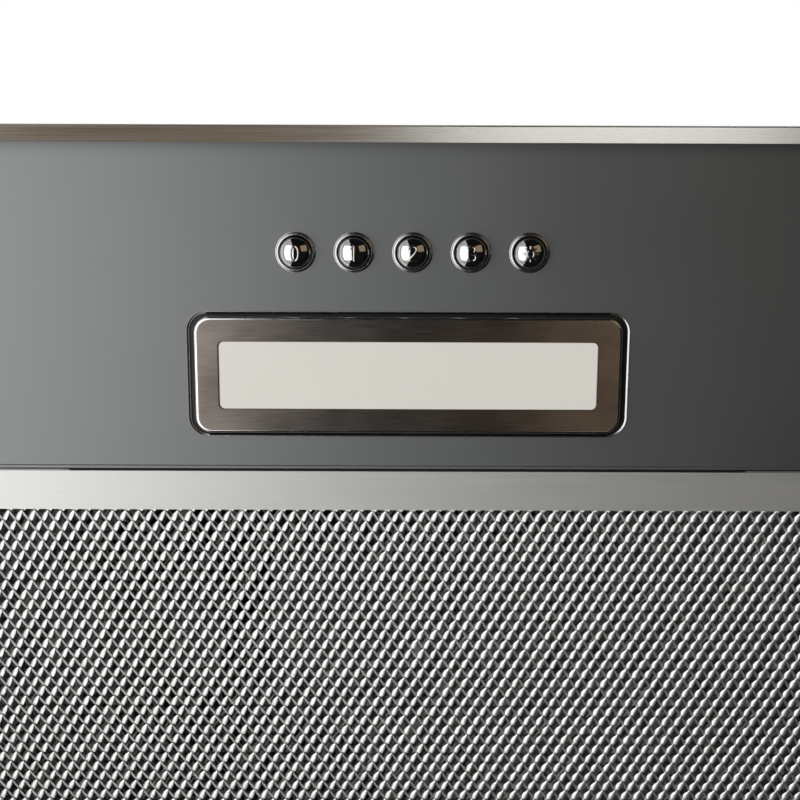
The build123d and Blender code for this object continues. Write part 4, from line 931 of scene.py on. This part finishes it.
def expanded_layer(low_z, high_z, length, step, shift, thickness, wide, narrow, seed, bulge=0.0):
    """One layer of expanded metal: staggered diamonds, wide leaning strands and narrow cross strands.

    A strand goes from its own knot, at low_z, to high_z at a knot of the row before. A cell has this
    length, and the step goes from one row to the next.
    """
    chance = random.Random(seed)
    points, faces = [], []
    rows = int((mesh_rear - mesh_front) / step) + 3
    columns = int(2 * mesh_half / length) + 3
    for row in range(rows):
        for column in range(columns):
            x = -mesh_half - length + (column + 0.5 * (row % 2)) * length + shift[0]
            y = mesh_front - step + row * step + shift[1]
            if abs(x) > mesh_half + side_overlap:
                continue
            if y < mesh_front - front_overlap or y > mesh_rear + rear_overlap:
                continue
            if abs(x) < latch_high[0] + latch_side_room and y > latch_low[1] - latch_front_room:
                continue
            bend = chance.uniform(-bend_play, bend_play)
            knot = Vector((x, y, low_z + bend))
            lean_end = Vector((x + length / 2, y - step, high_z + bend))
            cross_end = Vector((x - length / 2, y - step, high_z + bend))
            width = wide * chance.uniform(1 - width_play, 1 + width_play)
            twist = chance.uniform(-twist_play, twist_play)
            leaning = (
                (-0.05, 0.55 * width, -0.75 + twist),
                (0.25, width, -0.4 + twist),
                (0.62, 0.82 * width, -0.3 + twist),
                (1.04, 0.3 * width, -0.15 + twist),
            )
            crossing = (
                (-0.06, 1.5 * narrow, -0.65 + twist),
                (0.5, 1.0 * narrow, -0.15 + twist),
                (1.06, 1.4 * narrow, -0.6 + twist),
            )
            for more_points, more_faces in (
                strand(knot, lean_end, leaning, thickness, bulge),
                strand(knot, cross_end, crossing, thickness),
            ):
                start = len(points)
                points += more_points
                faces += [tuple(start + i for i in face) for face in more_faces]
    return points, faces


outer_foil, inner_foil = 0.18, 0.16  # thickness of the two foils
front_layer = expanded_layer(
    low_z=7.5,
    high_z=6.9,
    length=cell_length,
    step=row_step,
    shift=(0.0, 1.0),
    thickness=outer_foil,
    wide=1.95,
    narrow=0.7,
    seed=5,
    bulge=0.23,
)
front_mesh = build("filter_front_layer", front_layer, "filter", "aluminium_mesh", 60)
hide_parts("filter_front_mesh")
inner_layers = merge(
    expanded_layer(
        low_z=9.5,
        high_z=8.9,
        length=6.1,
        step=4.3,
        shift=(1.3, 0.4),
        thickness=inner_foil,
        wide=0.9,
        narrow=0.6,
        seed=11,
    ),
    expanded_layer(
        low_z=11.6,
        high_z=11.0,
        length=5.3,
        step=4.9,
        shift=(-0.7, 2.1),
        thickness=inner_foil,
        wide=1.0,
        narrow=0.6,
        seed=12,
    ),
)
core_mesh = build("filter_core_layers", inner_layers, "filter", "aluminium_mesh", 50)
# painted shade: the inner layers take the darker foil
core_mesh.data.materials[0] = shaded_foil_finish
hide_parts("filter_core_mesh")
back_layer = expanded_layer(
    low_z=13.2,
    high_z=13.8,
    length=cell_length,
    step=row_step,
    shift=(1.6, 0.0),
    thickness=outer_foil,
    wide=1.8,
    narrow=0.9,
    seed=7,
)
back_mesh = build("filter_back_layer", back_layer, "filter", "aluminium_mesh", 50)
# painted shade: the back layer, the same foil as the front, takes the darker finish
back_mesh.data.materials[0] = shaded_foil_finish
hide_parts("filter_back_mesh")


# ---------------------------------------------------------------- studio, in metres
def plain_sheets(name, corners, material):
    """Flat pieces of the studio, four corners each, which aren't part of the object."""
    mesh = bpy.data.meshes.new(name)
    mesh.from_pydata(corners, [], [tuple(range(i, i + 4)) for i in range(0, len(corners), 4)])
    mesh.materials.append(material)
    piece = bpy.data.objects.new(name, mesh)
    bpy.context.scene.collection.objects.link(piece)
    return piece


def studio_floor_paper():
    """Matte paper floor: pale, with the faintest mottling."""
    made, tree, shader, place = finish("studio_floor_paper", {"Roughness": 0.9})
    mottle = grain(tree, place, (400.0, 400.0, 400.0), 2.0)
    tint(tree, shader, mottle, "#e4e4e2", "#e8e8e6")
    return made


def studio_black_felt():
    """Black felt of the flags under and round the hood, which the chrome and the face mirror as dark."""
    made, tree, shader, place = finish("studio_black_felt", {"Roughness": 1.0})
    nap = grain(tree, place, (5.0, 5.0, 5.0), 3.0)
    tint(tree, shader, nap, "#050505", "#090909")
    return made


floor_z, floor_half = -1.5, 6
floor_corners = [(x * floor_half, y * floor_half, floor_z) for x, y in ((-1, -1), (1, -1), (1, 1), (-1, 1))]
studio_floor = plain_sheets("studio_floor", floor_corners, studio_floor_paper())

flag_low, flag_left, flag_right, flag_front, flag_rear = -1.1, -0.55, 1.9, -1.3, 1.2
front_left, front_right = (flag_left, flag_front), (flag_right, flag_front)
rear_left, rear_right = (flag_left, flag_rear), (flag_right, flag_rear)


def upright_flag(start, end):
    """Corners of a flag that stands on the lowest one and reaches the height of the hood's underside."""
    return [(*start, flag_low), (*end, flag_low), (*end, 0.0), (*start, 0.0)]


flag_corners = [(*corner, flag_low) for corner in (front_left, front_right, rear_right, rear_left)]
flag_corners += upright_flag(front_right, rear_right)
flag_corners += upright_flag(front_left, front_right)
flag_corners += upright_flag(rear_left, rear_right)
flag = plain_sheets("studio_flag", flag_corners, studio_black_felt())
flag.visible_camera = False
flag.visible_shadow = False


def soft_lamp(name, place, target, size, power, colour="#ffffff"):
    """A soft rectangular lamp that faces a point: its width lies along X, its length along Y."""
    light = bpy.data.lights.new(name, "AREA")
    light.shape = "RECTANGLE"
    light.size, light.size_y = size
    light.energy = power
    light.color = ink(colour)[:3]
    lamp = bpy.data.objects.new(name, light)
    back = (Vector(place) - Vector(target)).normalized()
    across = Vector((0, 1, 0)).cross(back).normalized()
    turn = Matrix((across, back.cross(across), back)).transposed()
    lamp.matrix_world = Matrix.Translation(place) @ turn.to_4x4()
    lamp.visible_camera = False
    bpy.context.scene.collection.objects.link(lamp)
    return lamp


def keep_to(lamp, piece, state):
    """The lamp lights only this piece, or every piece but this one."""
    linked = bpy.data.collections.new(lamp.name + "_reach")
    linked.objects.link(piece)
    lamp.light_linking.receiver_collection = linked
    linked.collection_objects[0].light_linking.link_state = state


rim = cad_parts["rim_frame"]
# each lamp: its name, its place, the point that it faces, its size, its power in watts and its colour
under_lamp = soft_lamp("under_lamp", (-0.5, -0.4, -0.9), (0.0, 0.0, 0.0), (1.0, 1.0), 8.0)
under_lamp.visible_glossy = False
window_lamp = soft_lamp("window_lamp", (-0.34, -0.06, -0.38), (-0.1, -0.06, 0.0), (0.5, 0.8), 1.94)
window_lamp.visible_diffuse = False
keep_to(window_lamp, rim, "EXCLUDE")
rim_lamp = soft_lamp("rim_lamp", (0.2, -0.3, -0.9), (0.06, -0.14, 0.0), (0.36, 0.6), 1.6)
keep_to(rim_lamp, rim, "INCLUDE")
rim_fill = soft_lamp("rim_fill", (-0.3, -0.3, -0.9), (-0.1, -0.14, 0.0), (0.6, 1.2), 0.6, "#ffe6cc")
keep_to(rim_fill, rim, "INCLUDE")
warm_card = soft_lamp("warm_card", (0.42, -0.32, -0.36), (0.0, -0.1, 0.0), (0.4, 0.34), 0.15, "#ffe0b4")
warm_card.visible_diffuse = False
bezel_lamp = soft_lamp("bezel_lamp", (0.25, 0.13, -0.95), (0.07, -0.07, 0.0), (0.12, 0.5), 0.17, "#ffe6cc")
keep_to(bezel_lamp, bezel_piece, "INCLUDE")
soft_lamp("top_lamp", (-0.4, -0.6, 2.2), (0.0, 0.0, 0.0), (2.4, 2.4), 21.0)
floor_lamp = soft_lamp("floor_lamp", (-0.5, -0.5, 6.0), (-0.5, -0.4, 0.0), (8.0, 8.0), 430.0)
keep_to(floor_lamp, studio_floor, "INCLUDE")

world = bpy.data.worlds.new("studio_air")
bpy.context.scene.world = world
world.use_nodes = True
air = world.node_tree
air.nodes.clear()
white = (1.0, 1.0, 1.0, 1.0)
seen = add(air, "ShaderNodeLightPath", {}).outputs
direct = {0: seen["Is Camera Ray"], 1: seen["Is Glossy Ray"]}
shown = add(air, "ShaderNodeMath", direct, operation="ADD")
through = {0: shown.outputs[0], 1: seen["Is Transmission Ray"]}
shown_all = add(air, "ShaderNodeMath", through, operation="MAXIMUM")
backdrop = add(air, "ShaderNodeBackground", {"Color": white, "Strength": 1.0})
fill = add(air, "ShaderNodeBackground", {"Color": white, "Strength": 0.2})
both_airs = {0: shown_all.outputs[0], 1: fill.outputs[0], 2: backdrop.outputs[0]}
either = add(air, "ShaderNodeMixShader", both_airs)
add(air, "ShaderNodeOutputWorld", {"Surface": either.outputs[0]})

# ---------------------------------------------------------------- camera
# It looks up at the underside from a little in front, with the hood's front edge at the top of the picture.
camera_place = (-0.0025, -0.1487, -0.4118)  # metres
lean = math.radians(12)  # away from straight up, towards the rear
roll = math.radians(0.2)
camera_data = bpy.data.cameras.new("camera")
camera_data.sensor_width = 36.0  # millimetres
camera_data.lens = 60.98  # millimetres
camera_data.clip_start = 0.01  # metres
camera_data.clip_end = 50.0
camera = bpy.data.objects.new("camera", camera_data)
bpy.context.scene.collection.objects.link(camera)
level = Matrix(
    (
        (1.0, 0.0, 0.0),
        (0.0, -math.cos(lean), -math.sin(lean)),
        (0.0, math.sin(lean), -math.cos(lean)),
    )
)
aim = level @ Matrix.Rotation(roll, 3, "Z")
camera.matrix_world = Matrix.Translation(camera_place) @ aim.to_4x4()
bpy.context.scene.camera = camera
bpy.context.scene.view_settings.view_transform = "Standard"
